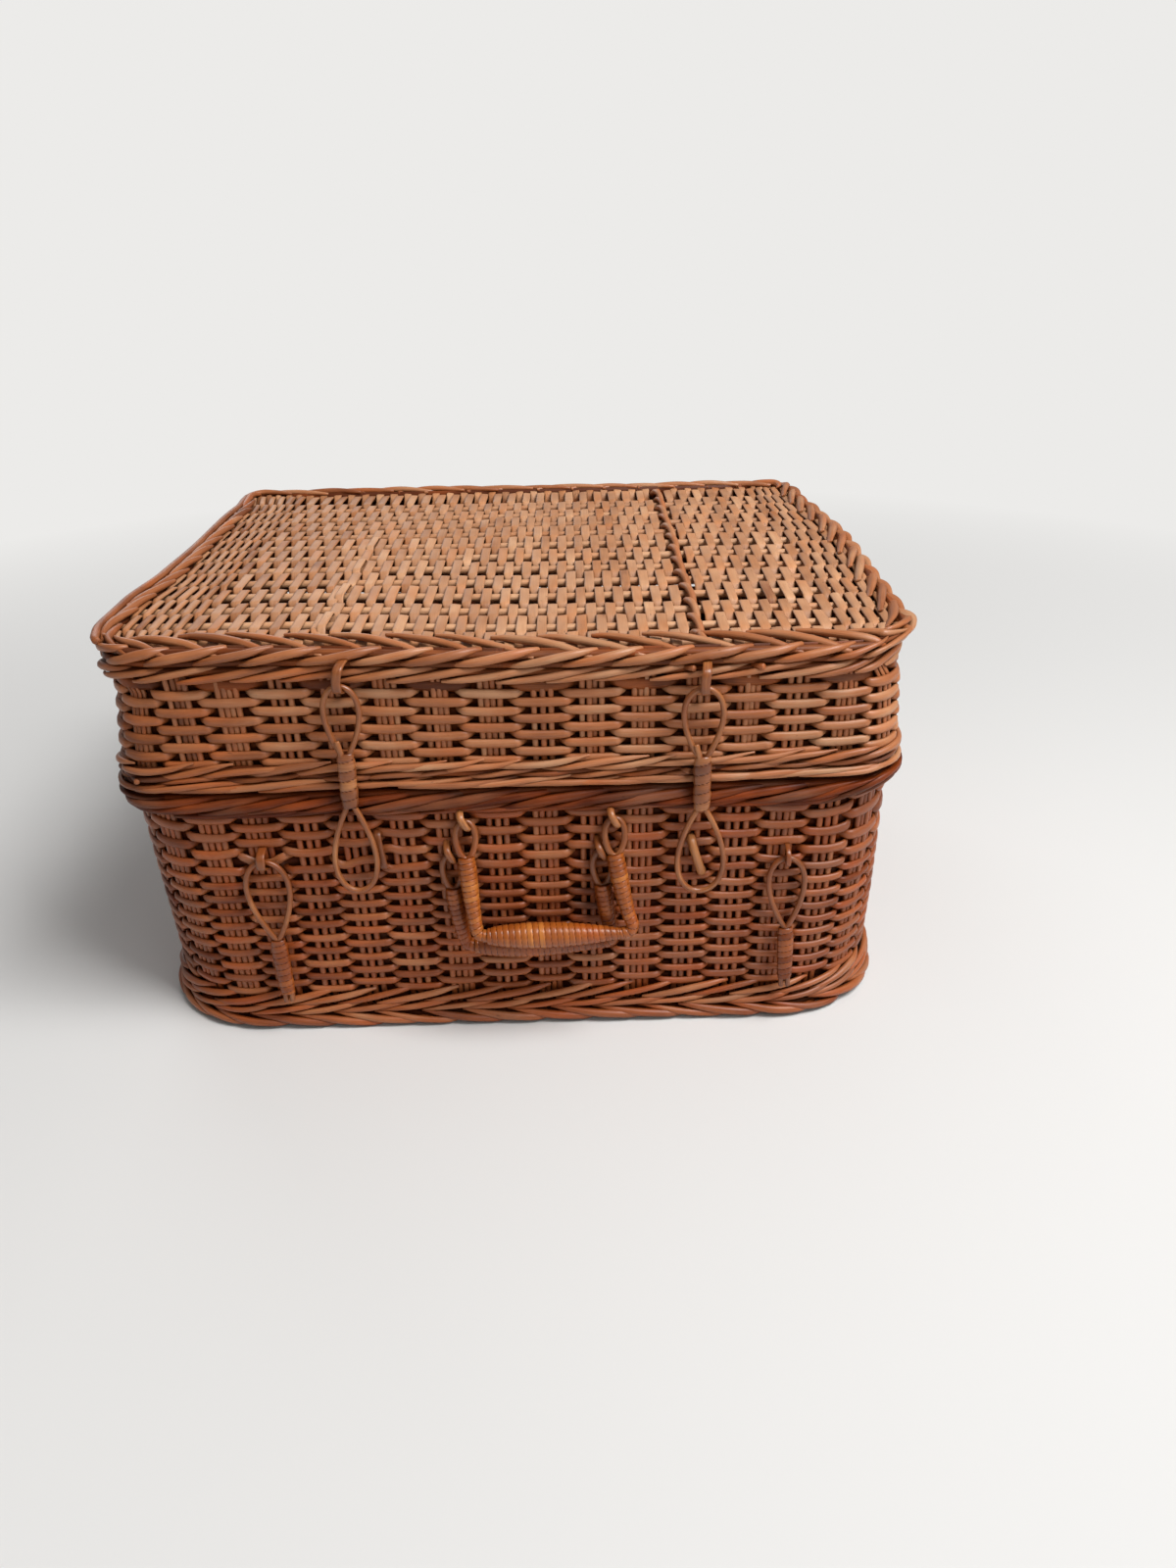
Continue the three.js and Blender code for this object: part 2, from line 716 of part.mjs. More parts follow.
// The inner handle's grip rests on the wall, and the outer one's rests on the inner grip.
function addHandles() {
  const { outer, inner } = handles;
  const wallRest = gripDiameter / 2 + fitGap - hangingOut;
  const innerTilt = Math.asin(wallRest / inner.length);
  const innerGripBelow = inner.drop - outer.drop + inner.length * Math.cos(innerTilt);
  const toInnerGrip = new THREE.Vector2(wallRest, innerGripBelow);
  const apart = gripDiameter + fitGap;
  const reach = toInnerGrip.length();
  const towardsGrip = Math.atan2(toInnerGrip.x, toInnerGrip.y);
  const offGrip = Math.acos((outer.length ** 2 + reach ** 2 - apart ** 2) / (2 * outer.length * reach));
  addHandle("inner", innerTilt);
  addHandle("outer", towardsGrip + offGrip);
}

addBody();
addLid();
addRingsAndStaples();
addHasp("left");
addHasp("right");
addPeg("left");
addPeg("right");
addHandles();

export default basket;
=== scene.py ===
"""Looks of a lidded wicker hamper: every rod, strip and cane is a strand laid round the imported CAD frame.

Lengths are millimetres until a mesh is made. An arc position runs counter-clockwise, seen from above,
from the middle of the front wall. "Out" is the distance in front of a wall's outer face.
"""

import json
import math

import bpy
import numpy as np
from mathutils import Matrix, Vector


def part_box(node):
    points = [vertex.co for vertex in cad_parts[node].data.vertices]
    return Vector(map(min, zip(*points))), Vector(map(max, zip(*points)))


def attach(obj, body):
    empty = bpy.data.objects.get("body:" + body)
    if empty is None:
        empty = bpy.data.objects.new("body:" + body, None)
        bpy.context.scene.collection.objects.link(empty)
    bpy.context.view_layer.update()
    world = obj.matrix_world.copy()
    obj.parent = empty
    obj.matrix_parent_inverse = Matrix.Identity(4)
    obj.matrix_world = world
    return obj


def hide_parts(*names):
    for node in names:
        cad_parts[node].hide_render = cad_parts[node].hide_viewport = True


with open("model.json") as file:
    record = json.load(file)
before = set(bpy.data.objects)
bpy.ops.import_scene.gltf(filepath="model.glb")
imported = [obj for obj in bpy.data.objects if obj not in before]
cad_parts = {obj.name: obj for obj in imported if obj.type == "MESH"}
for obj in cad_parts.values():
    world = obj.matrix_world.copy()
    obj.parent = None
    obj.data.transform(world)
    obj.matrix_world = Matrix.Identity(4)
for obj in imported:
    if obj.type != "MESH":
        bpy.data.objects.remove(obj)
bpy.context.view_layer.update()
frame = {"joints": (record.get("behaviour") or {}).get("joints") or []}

MM = 0.001
TAU = 2 * math.pi
X, Y, Z = np.eye(3)
rng = np.random.default_rng(23)


# ---- What the frame gives


def box_mm(node):
    """Lowest and highest corner of a CAD node, in millimetres."""
    low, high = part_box(node)
    return np.array(low) / MM, np.array(high) / MM


def middle_mm(node):
    """Middle of a CAD node's box, in millimetres."""
    low, high = box_mm(node)
    return (low + high) / 2


def width_of(node):
    """Width of a CAD node, in millimetres."""
    low, high = box_mm(node)
    return high[0] - low[0]


def joint_mm(name):
    """Place of a joint, in millimetres."""
    found = next(joint for joint in frame["joints"] if joint["name"] == name)
    return np.array(found["pos_m"], float) / MM


HALF_X, HALF_Y = box_mm("body_wall")[1][:2]
FOOT_TOP = box_mm("foot_border")[1][2]
BODY_RIM = box_mm("body_top_border")[1][2]
LID_BOTTOM = box_mm("lid_bottom_border")[0][2]
LID_TOP = box_mm("lid_top_border")[1][2]

FOOT_CORNER = 60.0
WALL_CORNER = 34.0  # body's weave at the rim
RIM_CORNER = 25.0  # borders at the seam
TOP_CORNER = 15.0  # lid's top border
WALL_MIDDLE = -4.0  # out, at the stakes
LID_HEIGHTS = (150, 210)  # over which the corners tighten to the lid's top border


# ---- The way round the basket

MEASURED_CORNER = 46.0  # corner of the outline on which arc positions are measured
NORMALS = np.array([(0, -1), (1, 0), (0, 1), (-1, 0)], float)
ALONGS = np.array([(1, 0), (0, 1), (-1, 0), (0, -1)], float)


def quarter_length(corner):
    """From the middle of one wall to the middle of the next."""
    return HALF_X + HALF_Y - (2 - math.pi / 2) * corner


QUARTER = quarter_length(MEASURED_CORNER)
LOOP = 4 * QUARTER


def weave_corner(z):
    """Outer corner radius of the body's weave."""
    return FOOT_CORNER + (WALL_CORNER - FOOT_CORNER) * z / BODY_RIM


def rim_corner(z):
    """Outer corner radius of the borders at the seam and of the lid."""
    return np.interp(z, LID_HEIGHTS, [RIM_CORNER, TOP_CORNER])


def around(s, out, z, corner):
    """Points, outward normals and directions at arc positions s."""
    s, out, z = np.broadcast_arrays(np.asarray(s, float), out, np.asarray(z, float))
    radius = corner(z)
    turns = (s / QUARTER) % 4
    side = turns.astype(int) % 4
    run = (turns - np.floor(turns)) * quarter_length(radius)
    normal, along = NORMALS[side], ALONGS[side]
    ahead = np.where(side % 2 == 0, HALF_X, HALF_Y)
    beside = np.where(side % 2 == 0, HALF_Y, HALF_X)
    angle = np.clip((run - ahead + radius) / radius, 0, math.pi / 2)
    after = np.maximum(run - (ahead - radius) - radius * math.pi / 2, 0)
    before = np.minimum(run, ahead - radius)
    cos, sin = np.cos(angle)[:, None], np.sin(angle)[:, None]
    centre = normal * (beside - radius - after)[:, None] + along * before[:, None]
    outward = normal * cos + along * sin
    direction = along * cos - normal * sin
    flat = centre + outward * (radius + out)[:, None]
    flat_z = np.zeros((len(s), 1))
    return np.column_stack([flat, z]), np.hstack([outward, flat_z]), np.hstack([direction, flat_z])


def ease(value, low, high):
    """From 0 at low to 1 at high, smoothly."""
    share = np.clip((value - low) / (high - low), 0, 1)
    return share * share * (3 - 2 * share)


# How far out an end stands, by height, and more by how much its back is drawn in at the lid's top.
RIGHT_END = [(60, 1.0), (130, -1.2), (150, -1.6), (200, 0), (206, -3), (216, -1), (222, 4.8)]
LEFT_END = [(0, 1.3), (150, 2.0), (198, 3.0), (206, -1.0), (212, -0.5), (217, 2.2), (222, 1.2)]
RIGHT_BACK_IN, LEFT_BACK_IN = 9, 5
END_ZONE = (150, 200)  # distance from the middle, from where an end begins to where it is in full
RIM_RISE = (4.5, 9.0)  # of the body's border at the left and the right end
CORNER_IN, RIGHT_CORNER_IN, CORNER_BACK = 6.5, 4.5, 6.0  # front corners, with more in the top right one
BACK_LEFT_CORNER = (-8.0, 3.0)


def bulge(points):
    """The ends of the basket out of true, by height, and the corners of the lid: round at the front
    and drawn out at the back."""
    moved = points.copy()
    x, y, z = points.T
    right, left = ease(x, *END_ZONE), ease(-x, *END_ZONE)
    drawn_in = RIGHT_BACK_IN * ease(y, 20, 140) * ease(z, 190, 220)
    moved[:, 0] += right * (np.interp(z, *np.transpose(RIGHT_END)) - drawn_in)
    drawn_in = LEFT_BACK_IN * ease(y, -95, -45) * ease(z, 205, 222)
    moved[:, 0] += left * (np.interp(z, *np.transpose(LEFT_END)) + drawn_in)
    moved[:, 2] += (RIM_RISE[0] * left + RIM_RISE[1] * right) * ease(z, 100, 134) * (1 - ease(z, 138, 146))
    front_corner = ease(np.abs(x), 158, 200) * ease(-y, 124, 166) * ease(z, *LID_HEIGHTS)
    top_right = RIGHT_CORNER_IN * right * ease(-y, 140, 162) * ease(z, 196, 212)
    moved[:, 0] -= (CORNER_IN + top_right) * np.sign(x) * front_corner
    moved[:, 1] += CORNER_BACK * front_corner
    back_left = ease(-x, 150, 195) * ease(y, 115, 165)
    moved[:, :2] += back_left[:, None] * BACK_LEFT_CORNER
    return moved


FRONT_SINK, RIGHT_LIFT = 5.0, 3.0  # of the lid's top edge, and of its bottom edge


def slump(points):
    """The lid's front edge sunk towards the right."""
    moved = bulge(points)
    x, y, z = points.T
    height = np.clip((z - LID_BOTTOM) / (LID_TOP - LID_BOTTOM), 0, 1)
    moved[:, 2] -= FRONT_SINK * height * ease(x, -140, 30) * ease(-y, -80, 165)
    moved[:, 2] += RIGHT_LIFT * (1 - height) * ease(x, 110, 190) * ease(-y, 60, 150)
    return moved


# ---- Strands


def unit(vectors):
    return vectors / np.maximum(np.linalg.norm(vectors, axis=-1, keepdims=True), 1e-9)


def travel(path, closed=False):
    """Unit direction at each point of a path."""
    if closed:
        return unit(np.roll(path, -1, axis=0) - np.roll(path, 1, axis=0))
    return unit(np.gradient(path, axis=0))


def lengths(path):
    """Distance of each point from the first, along a path."""
    return np.concatenate([[0], np.cumsum(np.linalg.norm(np.diff(path, axis=0), axis=1))])


def rounded(values, width=5):
    """Values with their kinks smoothed out."""
    kernel = np.hanning(width + 2)[1:-1]
    padded = np.pad(values, width // 2, mode="edge")
    return np.convolve(padded, kernel / kernel.sum(), mode="valid")


def stations(table, count):
    """The columns after the first of a table, sampled evenly along the first one."""
    table = np.array(table, float)
    share = np.linspace(0, 1, count)
    return [share] + [rounded(np.interp(share, table[:, 0], column)) for column in table[:, 1:].T]


CUT_SIZE, CUT_LENGTH = 0.8, 0.3  # of the last ring at a cut, as shares of the strand's half sizes


class Strands:
    """One mesh made of many rods, strips or canes, with what the willow material reads at each point:
    the way along and across the strand, a seed, and a tone from 0, dark, to 1, pale."""

    def __init__(self):
        self.points, self.grain, self.seeds, self.tones, self.quads, self.fans = [], [], [], [], [], []
        self.count = 0

    def add_rings(self, rings, grain, tone, closed=False):
        """Rings is rows by sides by 3. An open strand is capped at both ends."""
        rows, sides = rings.shape[:2]
        index = self.count + np.arange(rows * sides).reshape(rows, sides)
        if closed:
            index = np.vstack([index, index[:1]])
        ahead = np.roll(index, -1, axis=1)
        self.quads.append(np.stack([index[:-1], ahead[:-1], ahead[1:], index[1:]], axis=-1).reshape(-1, 4))
        points, grains = rings.reshape(-1, 3), grain.reshape(-1, 3)
        tone = np.reshape(tone, (-1, 1)) if np.ndim(tone) < 2 else tone
        tones = np.broadcast_to(tone, (rows, sides)).reshape(-1)
        if not closed:
            tips = np.array([rings[0].mean(axis=0), rings[-1].mean(axis=0)])
            points = np.vstack([points, tips])
            grains = np.vstack([grains, grain[0].mean(axis=0), grain[-1].mean(axis=0)])
            tones = np.append(tones, [tones[0], tones[-1]])
            first, last = self.count + rows * sides, self.count + rows * sides + 1
            start, end = index[0], index[-1]
            self.fans.append(np.stack([np.full(sides, first), np.roll(start, -1), start], axis=-1))
            self.fans.append(np.stack([np.full(sides, last), end, np.roll(end, -1)], axis=-1))
        self.points.append(points)
        self.grain.append(grains)
        self.tones.append(tones)
        self.seeds.append(np.full(len(points), rng.uniform(0, 100)))
        self.count += len(points)

    def add(self, path, wide, half_wide, half_thick, tone, sides=8, square=1.0, closed=False):
        """A strand along a path. Wide is the direction of its width, and a low square a boxy section."""
        path = np.asarray(path, float)
        rows = len(path)
        direction = travel(path, closed)
        wide = np.broadcast_to(wide, path.shape)
        thick = unit(np.cross(direction, wide))
        wide = np.cross(thick, direction)
        half_wide = np.broadcast_to(half_wide, rows).astype(float)
        half_thick = np.broadcast_to(half_thick, rows).astype(float)
        tone = np.broadcast_to(tone, rows)
        length = lengths(path)
        if not closed:
            # One smaller ring beyond each end rounds the cut.
            beyond = half_thick[[0, -1], None] * direction[[0, -1]] * CUT_LENGTH
            path = np.vstack([path[0] - beyond[0], path, path[-1] + beyond[1]])
            wide, thick, tone, length = (
                np.concatenate([v[:1], v, v[-1:]]) for v in (wide, thick, tone, length)
            )
            half_wide, half_thick = (
                np.concatenate([v[:1] * CUT_SIZE, v, v[-1:] * CUT_SIZE]) for v in (half_wide, half_thick)
            )
        angle = (np.arange(sides) + 0.5) * TAU / sides
        across = np.sign(np.cos(angle)) * np.abs(np.cos(angle)) ** square
        above = np.sign(np.sin(angle)) * np.abs(np.sin(angle)) ** square
        side_way = half_wide[:, None] * across
        up_way = half_thick[:, None] * above
        rings = path[:, None] + wide[:, None] * side_way[..., None] + thick[:, None] * up_way[..., None]
        along = np.broadcast_to(length[:, None], side_way.shape)
        self.add_rings(rings, np.stack([along, side_way, up_way], axis=-1), tone, closed)

    def build(self, name, body, look, *nodes, warp=None, darker=(0, 0)):
        """The piece, riding on its body in place of the CAD nodes. A look is a material and its slot,
        warp moves the points, and darker takes from the tones at the left and the right end: painted shade
        where the light falls off."""
        material, slot = look
        quads = np.concatenate(self.quads).reshape(-1)
        fans = np.concatenate(self.fans).reshape(-1) if self.fans else np.zeros(0, int)
        corners = np.concatenate([quads, fans]).astype(np.int32)
        sizes = np.concatenate([np.full(len(quads) // 4, 4), np.full(len(fans) // 3, 3)])
        starts = np.concatenate([[0], np.cumsum(sizes)[:-1]]).astype(np.int32)
        points = np.concatenate(self.points)
        # Painted shade: tones are taken down towards the ends, where the light falls off.
        ends = darker[0] * ease(-points[:, 0], 40, 200) + darker[1] * ease(points[:, 0], 100, 200)
        if warp:
            points = warp(points)
        mesh = bpy.data.meshes.new(name)
        mesh.vertices.add(self.count)
        mesh.vertices.foreach_set("co", (points * MM).astype(np.float32).reshape(-1))
        mesh.loops.add(len(corners))
        mesh.loops.foreach_set("vertex_index", corners)
        mesh.polygons.add(len(sizes))
        mesh.polygons.foreach_set("loop_start", starts)
        mesh.update(calc_edges=True)
        mesh.shade_smooth()
        grain = mesh.attributes.new("grain", "FLOAT_VECTOR", "POINT")
        grain.data.foreach_set("vector", (np.concatenate(self.grain) * MM).astype(np.float32).reshape(-1))
        per_point = {"seed": np.concatenate(self.seeds), "tone": np.concatenate(self.tones) - ends}
        for label, values in per_point.items():
            attribute = mesh.attributes.new(label, "FLOAT", "POINT")
            attribute.data.foreach_set("value", values.astype(np.float32))
        mesh.materials.append(material)
        piece = bpy.data.objects.new(name, mesh)
        bpy.context.scene.collection.objects.link(piece)
        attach(piece, body)
        if nodes:
            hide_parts(*nodes)


# ---- Materials


def linear(red, green, blue):
    """An sRGB colour, 0 to 255, as Blender's linear colour."""
    shares = (value / 255 for value in (red, green, blue))
    return [s / 12.92 if s <= 0.04045 else ((s + 0.055) / 1.055) ** 2.4 for s in shares] + [1]


class Nodes:
    """Short calls for the node tree of a new material or world."""

    def __init__(self, owner, shader="Principled BSDF"):
        self.owner = owner
        owner.use_nodes = True
        self.tree = owner.node_tree
        self.shader = self.tree.nodes[shader]

    def add(self, kind, inputs=None, **settings):
        node = self.tree.nodes.new(kind)
        for key, value in settings.items():
            setattr(node, key, value)
        for key, value in (inputs or {}).items():
            if isinstance(value, bpy.types.NodeSocket):
                self.tree.links.new(value, node.inputs[key])
            else:
                node.inputs[key].default_value = value
        return node

    def link(self, output, name):
        """The output into the shader's input of this name."""
        self.tree.links.new(output, self.shader.inputs[name])

    def math(self, operation, first, second, third=0.0):
        return self.add("ShaderNodeMath", {0: first, 1: second, 2: third}, operation=operation).outputs[0]

    def noise(self, grain, scale, seed, detail, roughness=0.5):
        stretched = self.add("ShaderNodeVectorMath", {0: grain, 1: scale}, operation="MULTIPLY").outputs[0]
        inputs = {"Vector": stretched, "W": seed, "Scale": 1.0, "Detail": detail, "Roughness": roughness}
        return self.add("ShaderNodeTexNoise", inputs, noise_dimensions="4D").outputs["Fac"]

    def span(self, value, from_low, from_high, to_low, to_high):
        """The value's range from low to high, as another range."""
        inputs = {"From Min": from_low, "From Max": from_high, "To Min": to_low, "To Max": to_high}
        return self.add("ShaderNodeMapRange", {"Value": value} | inputs).outputs["Result"]

    def mix(self, share, first, second):
        return self.add("ShaderNodeMix", {0: share, 6: first, 7: second}, data_type="RGBA").outputs[2]

    def ramp(self, factor, stops):
        node = self.add("ShaderNodeValToRGB", {"Fac": factor})
        elements = node.color_ramp.elements
        while len(elements) < len(stops):
            elements.new(0.5)
        for element, (place, colour) in zip(elements, stops):
            element.position = place
            element.color = colour
        return node.outputs["Color"]


# Scales of the noise, per metre: along a strand, across it and through it.
FIBRES, BLOTCHES, STRETCHES, FLECKS = (60, 2200, 2200), (42, 90, 90), (26, 60, 60), (330, 700, 700)
FIBRE_TONE, BLOTCH_TONE = 0.6, 0.75  # how much fibres and blotches change the tone
GREYED, AMBERED = (1.06, 1.0, 0.96), (1.06, 0.88, 0.62)  # tints of the stretches
CREVICE = 0.006  # metres to the next strand, within which its colour is darkened by painted shade and it is dull
CREVICE_SHADE_COLOUR = (34, 9, 2)


def willow(slot, colours, roughness, coat=0.0, grey=0.12, amber=0.4):
    """A look of willow or cane: colours from dark to pale by strand, with fibres, blotches, greyed and
    amber stretches, specks, and painted shade where strands lie close."""
    nodes = Nodes(bpy.data.materials.new(slot))
    grain, seed, tone = (
        nodes.add("ShaderNodeAttribute", attribute_name=name).outputs[output]
        for name, output in (("grain", "Vector"), ("seed", "Fac"), ("tone", "Fac"))
    )
    fibre = nodes.noise(grain, FIBRES, seed, 3.0, 0.6)
    blotch = nodes.noise(grain, BLOTCHES, seed, 2.0)
    stretch = nodes.noise(grain, STRETCHES, nodes.math("ADD", seed, 40.0), 1.0)
    fleck = nodes.noise(grain, FLECKS, seed, 1.0)
    shade = tone
    for noise, share in ((fibre, FIBRE_TONE), (blotch, BLOTCH_TONE)):
        shade = nodes.math("MULTIPLY_ADD", nodes.math("SUBTRACT", noise, 0.5), share, shade)
    places = np.linspace(0, 1, len(colours))
    colour = nodes.ramp(shade, [(place, linear(*c)) for place, c in zip(places, colours)])
    middle = np.array(colours[len(colours) // 2], float)
    greyed = linear(*(0.45 * middle + 0.55 * middle.mean() * np.array(GREYED)))
    ambered = linear(*(middle * np.array(AMBERED)))
    speck = linear(*(0.42 * np.array(colours[0])))
    # Apart is 0 in a crevice and 1 in the open; where it is low the colour is mixed towards painted shade.
    apart = nodes.add("ShaderNodeAmbientOcclusion", {"Distance": CREVICE}, samples=4).outputs["AO"]
    for value, span, other in (
        (stretch, (0.52, 0.66, 0.0, grey), greyed),
        (stretch, (0.48, 0.34, 0.0, amber), ambered),
        (fleck, (0.72, 0.8, 0.0, 0.5), speck),
        (apart, (0.1, 0.6, 0.85, 0.0), linear(*CREVICE_SHADE_COLOUR)),
    ):
        colour = nodes.mix(nodes.span(value, *span), colour, other)
    nodes.link(colour, "Base Color")
    in_the_open, pale = nodes.span(apart, 0.25, 0.75, 0.02, 0.42), nodes.span(tone, 0.1, 0.4, 0.3, 1.0)
    nodes.link(nodes.math("MULTIPLY", in_the_open, pale), "Specular IOR Level")
    nodes.link(nodes.span(apart, 0.35, 0.8, 0.0, coat), "Coat Weight")
    nodes.shader.inputs["Coat Roughness"].default_value = 0.22
    nodes.link(nodes.math("MULTIPLY_ADD", fibre, 0.3, roughness - 0.15), "Roughness")
    height = nodes.math("MULTIPLY_ADD", blotch, 0.6, fibre)
    bump = nodes.add("ShaderNodeBump", {"Strength": 0.4, "Distance": 0.0004, "Height": height})
    nodes.link(bump.outputs[0], "Normal")
    return nodes.owner, slot


PEELED = willow("peeled_willow", [(118, 62, 32), (166, 112, 74), (190, 137, 98), (216, 166, 124)],
                0.5, amber=0.3)
LID = willow("lid_willow", [(90, 42, 18), (143, 80, 42), (172, 105, 62), (188, 138, 100)], 0.42, coat=0.1)
BODY = willow("body_willow", [(84, 33, 11), (130, 64, 28), (158, 84, 40), (172, 112, 72)],
              0.42, coat=0.1, grey=0.3)
CANE = willow("cane", [(70, 28, 9), (110, 56, 23), (138, 76, 35), (190, 126, 74)],
              0.34, coat=0.3, grey=0.05)
WRAP = willow("cane_wrap", [(76, 28, 4), (126, 58, 14), (158, 82, 25), (206, 130, 58)],
              0.34, coat=0.25, grey=0.0)


# ---- Walls: stakes in groups, and weavers that pass before and behind them in turn

GROUPS = 58
PITCH = LOOP / GROUPS
FIRST_GROUP = -6.0
STEPS = 14  # of a weaver, from one group to the next
FOUR_STAKES = 0.7  # chance of four stakes in a group, and not three


def stake_groups():
    """Arc positions of the middles of the stake groups, which drift from even places."""
    even = FIRST_GROUP + np.arange(GROUPS) * PITCH
    drift = 2.2 * np.sin(even * TAU / (0.5 * LOOP)) - 1.2
    return even + drift + rng.uniform(-0.9, 0.9, GROUPS)


GROUP_PLACES = stake_groups()


def over_and_under(phase, held, dive):
    """From 1 before a group to -1 behind it. Held is how much longer it stays before, and dive how
    slowly it goes behind."""
    return np.sin(math.pi / 2 * np.clip((np.cos(phase) + held) / dive, -1, 1))


def add_stakes(strands, bottom, top, corner, spread, radius, tones):
    """Stakes stand in groups of three or four."""
    z = np.linspace(bottom, top, 12)
    for place in GROUP_PLACES:
        number = 4 if rng.random() < FOUR_STAKES else 3
        gap = rng.uniform(*spread) * (1.0 if number == 4 else 1.3)
        for stake in range(number):
            offset = (stake - (number - 1) / 2) * gap + rng.uniform(-0.25, 0.25)
            bow = rng.uniform(-0.35, 0.35) * np.sin(np.linspace(0, math.pi, len(z)))
            out = WALL_MIDDLE + 1.4 + rng.uniform(-0.3, 0.3) + bow
            path, _, along = around(place + offset + bow, out, z, corner)
            strands.add(path, along, radius * 1.1, radius, rng.uniform(*tones), square=0.8)


BAND, BAND_THICK, BAND_STEP, SHADE_BAND_TONE = 6.0, 0.12, 8.0, -0.6  # half sizes, spacing and tone of the bands of painted shade


def add_shade_bands(strands, bottom, top, corner):
    """Dark bands between the stakes, where the weavers that pass behind close the wall: painted shade that
    makes the gaps of the weave look dark.
    """
    s = np.linspace(0, LOOP, 401)[:-1]
    for z in np.arange(bottom, top, BAND_STEP) + BAND_STEP / 2:
        path = around(s, WALL_MIDDLE - 0.3, z, corner)[0]
        strands.add(path, Z, BAND, BAND_THICK, SHADE_BAND_TONE, sides=4, closed=True)


def add_weaver(strands, z, first, last, row, corner, shape, tone, pushed):
    """A weaver from one group to another, which starts and ends behind the stakes. Shape is half its
    height, half its thickness, how long it is held before the stakes, how slowly it goes behind them,
    and how far it droops."""
    half_height, half_thick, held, dive, droop = shape
    steps = np.arange((last - first) * STEPS + 1) / STEPS + first
    numbers = np.arange(-1, 2 * GROUPS + 2)
    places = GROUP_PLACES[numbers % GROUPS] + np.floor(numbers / GROUPS) * LOOP
    s = np.interp(steps, numbers, places)
    phase = math.pi * (steps + row)
    before = (1 + np.cos(phase)) / 2
    marks = np.arange(first - 1, last + 3)
    swell = rounded(rng.uniform(0.88, 1.12, len(s)), 11) * (0.9 + 0.16 * before)
    sag = np.interp(steps, marks, rng.uniform(-0.5, 0.5, len(marks)))
    lift = z + rounded(sag, 9) - droop * before
    for place, height, spread, width in pushed:
        apart = z - height
        near = np.exp(-(((s - place + LOOP / 2) % LOOP - LOOP / 2) / width) ** 2)
        lift = lift + np.sign(apart) * spread * near * math.exp(-abs(apart) / 6.0)
    reach = half_thick + 1.25
    path = around(s, WALL_MIDDLE + reach * over_and_under(phase, held, dive), lift, corner)[0]
    tones = tone + np.interp(steps, marks, rng.uniform(-0.12, 0.12, len(marks)))
    strands.add(path, Z, half_height * swell, half_thick, tones, square=0.92)


def add_weave(strands, heights, corner, shape, tones, pushed=(), first_row=0):
    """Rows of weavers. Each row is a few weavers long, joined behind stakes."""
    for row, z in enumerate(heights):
        row += first_row
        start = int(rng.integers(0, GROUPS // 2)) * 2 + (row + 1) % 2
        end = start + GROUPS
        while start < end:
            last = min(start + 2 * int(rng.integers(5, 12)), end)
            if end - last < 6:
                last = end
            first = start % GROUPS
            tone = rng.uniform(*tones)
            add_weaver(strands, z, first, first + last - start, row, corner, shape, tone, pushed)
            start = last


# ---- Borders: slanting rods, one from each stake group

CORNER_TURNS = [0.42, 0.58, 1.42, 1.58, 2.42, 2.58, 3.42, 3.58]  # of the way round, in walls
INWARD = [1, 0.62, 0.62, 0.3, 0.3, 0.42, 0.42, 1]
STRAY = 2.4  # of the rods in the lid's bottom border, where 1 is that of the others


def inward_share(s):
    """How far rods reach in over the panel: most at the front, least at the back."""
    return np.interp((s / QUARTER) % 4, CORNER_TURNS, INWARD)


def add_slanting_rods(strands, table, reach, base, corner, start, tones):
    """Each table row is share of the way, out, height above the base, radius."""
    stray = STRAY if base == LID_BOTTOM else 1.0
    share, out, height, radius = stations(table, 18)
    for place in GROUP_PLACES:
        way = reach * PITCH * (1 + stray * rng.uniform(-0.07, 0.07))
        s = place + start + way * share + rng.uniform(-1.5, 1.5) * stray
        size = radius * rng.uniform(0.85, 1.1)
        rise = height + stray * (rng.uniform(-0.4, 0.4) + 0.25 * np.sin(share * TAU + rng.uniform(0, TAU)))
        flat = inward_share(s) if table is LID_TOP_RODS else 1.0
        reached = np.where(out < 0, out * flat, out) + (1 - flat) * 3.5
        z = np.maximum(base + rise, size * 1.04 + 0.1)  # above the floor
        path, outward, _ = around(s, reached + rng.uniform(-0.35, 0.35), z, corner)
        tone = rng.uniform(*tones) + 0.1 * np.sin(share * math.pi)
        strands.add(path, outward, size, size * 1.04, tone)


def add_cut_ends(strands, chance, base, height, out, corner):
    """Cut ends of rods that stick out of a border, pale where they are cut."""
    for place in GROUP_PLACES:
        if rng.random() > chance:
            continue
        s = place + rng.uniform(-8, 8) + np.array([-2.0, 0, 2.2])
        z = base + height + rng.uniform(-1, 1) + np.array([-0.4, 0, 0.3])
        path = around(s, out + np.array([-2.5, 0, 2.3]), z, corner)[0]
        strands.add(path, Z, rng.uniform(1.5, 2.0), 1.6, np.array([0.4, 0.4, 0.6]) + rng.uniform(-0.1, 0.1))


LID_TOP_RODS = [
    (0, -21, -2.4, 1.0), (0.12, -19, -1.7, 1.6), (0.4, -13, -1.5, 2.2), (0.7, -6.5, -2.6, 2.3),
    (0.9, -1.4, -4.7, 2.0), (1, 0.7, -6.4, 1.1),
]
LID_SIDE_RODS = [
    (0, -2.0, -10.8, 1.2), (0.12, 1.0, -9, 1.8), (0.4, 2.9, -6.2, 2.2), (0.7, 2.0, -3.9, 2.2),
    (0.9, -1.0, -3.0, 2.0), (1, -4.5, -3.2, 1.2),
]
LID_WALE_RODS = [
    (0, 0.4, -18.6, 0.7), (0.12, 1.4, -17.7, 1.5), (0.45, 1.6, -15, 1.9), (0.8, 0.2, -12.6, 1.9),
    (1, -2.8, -11.8, 1.3),
]
LID_UNDER_RODS = [
    (0, -1.4, 9.4, 1.1), (0.12, 0.9, 10.4, 1.6), (0.45, 1.9, 12.5, 1.9), (0.8, 1.3, 14.4, 1.7),
    (1, 0.2, 16.2, 0.5),
]
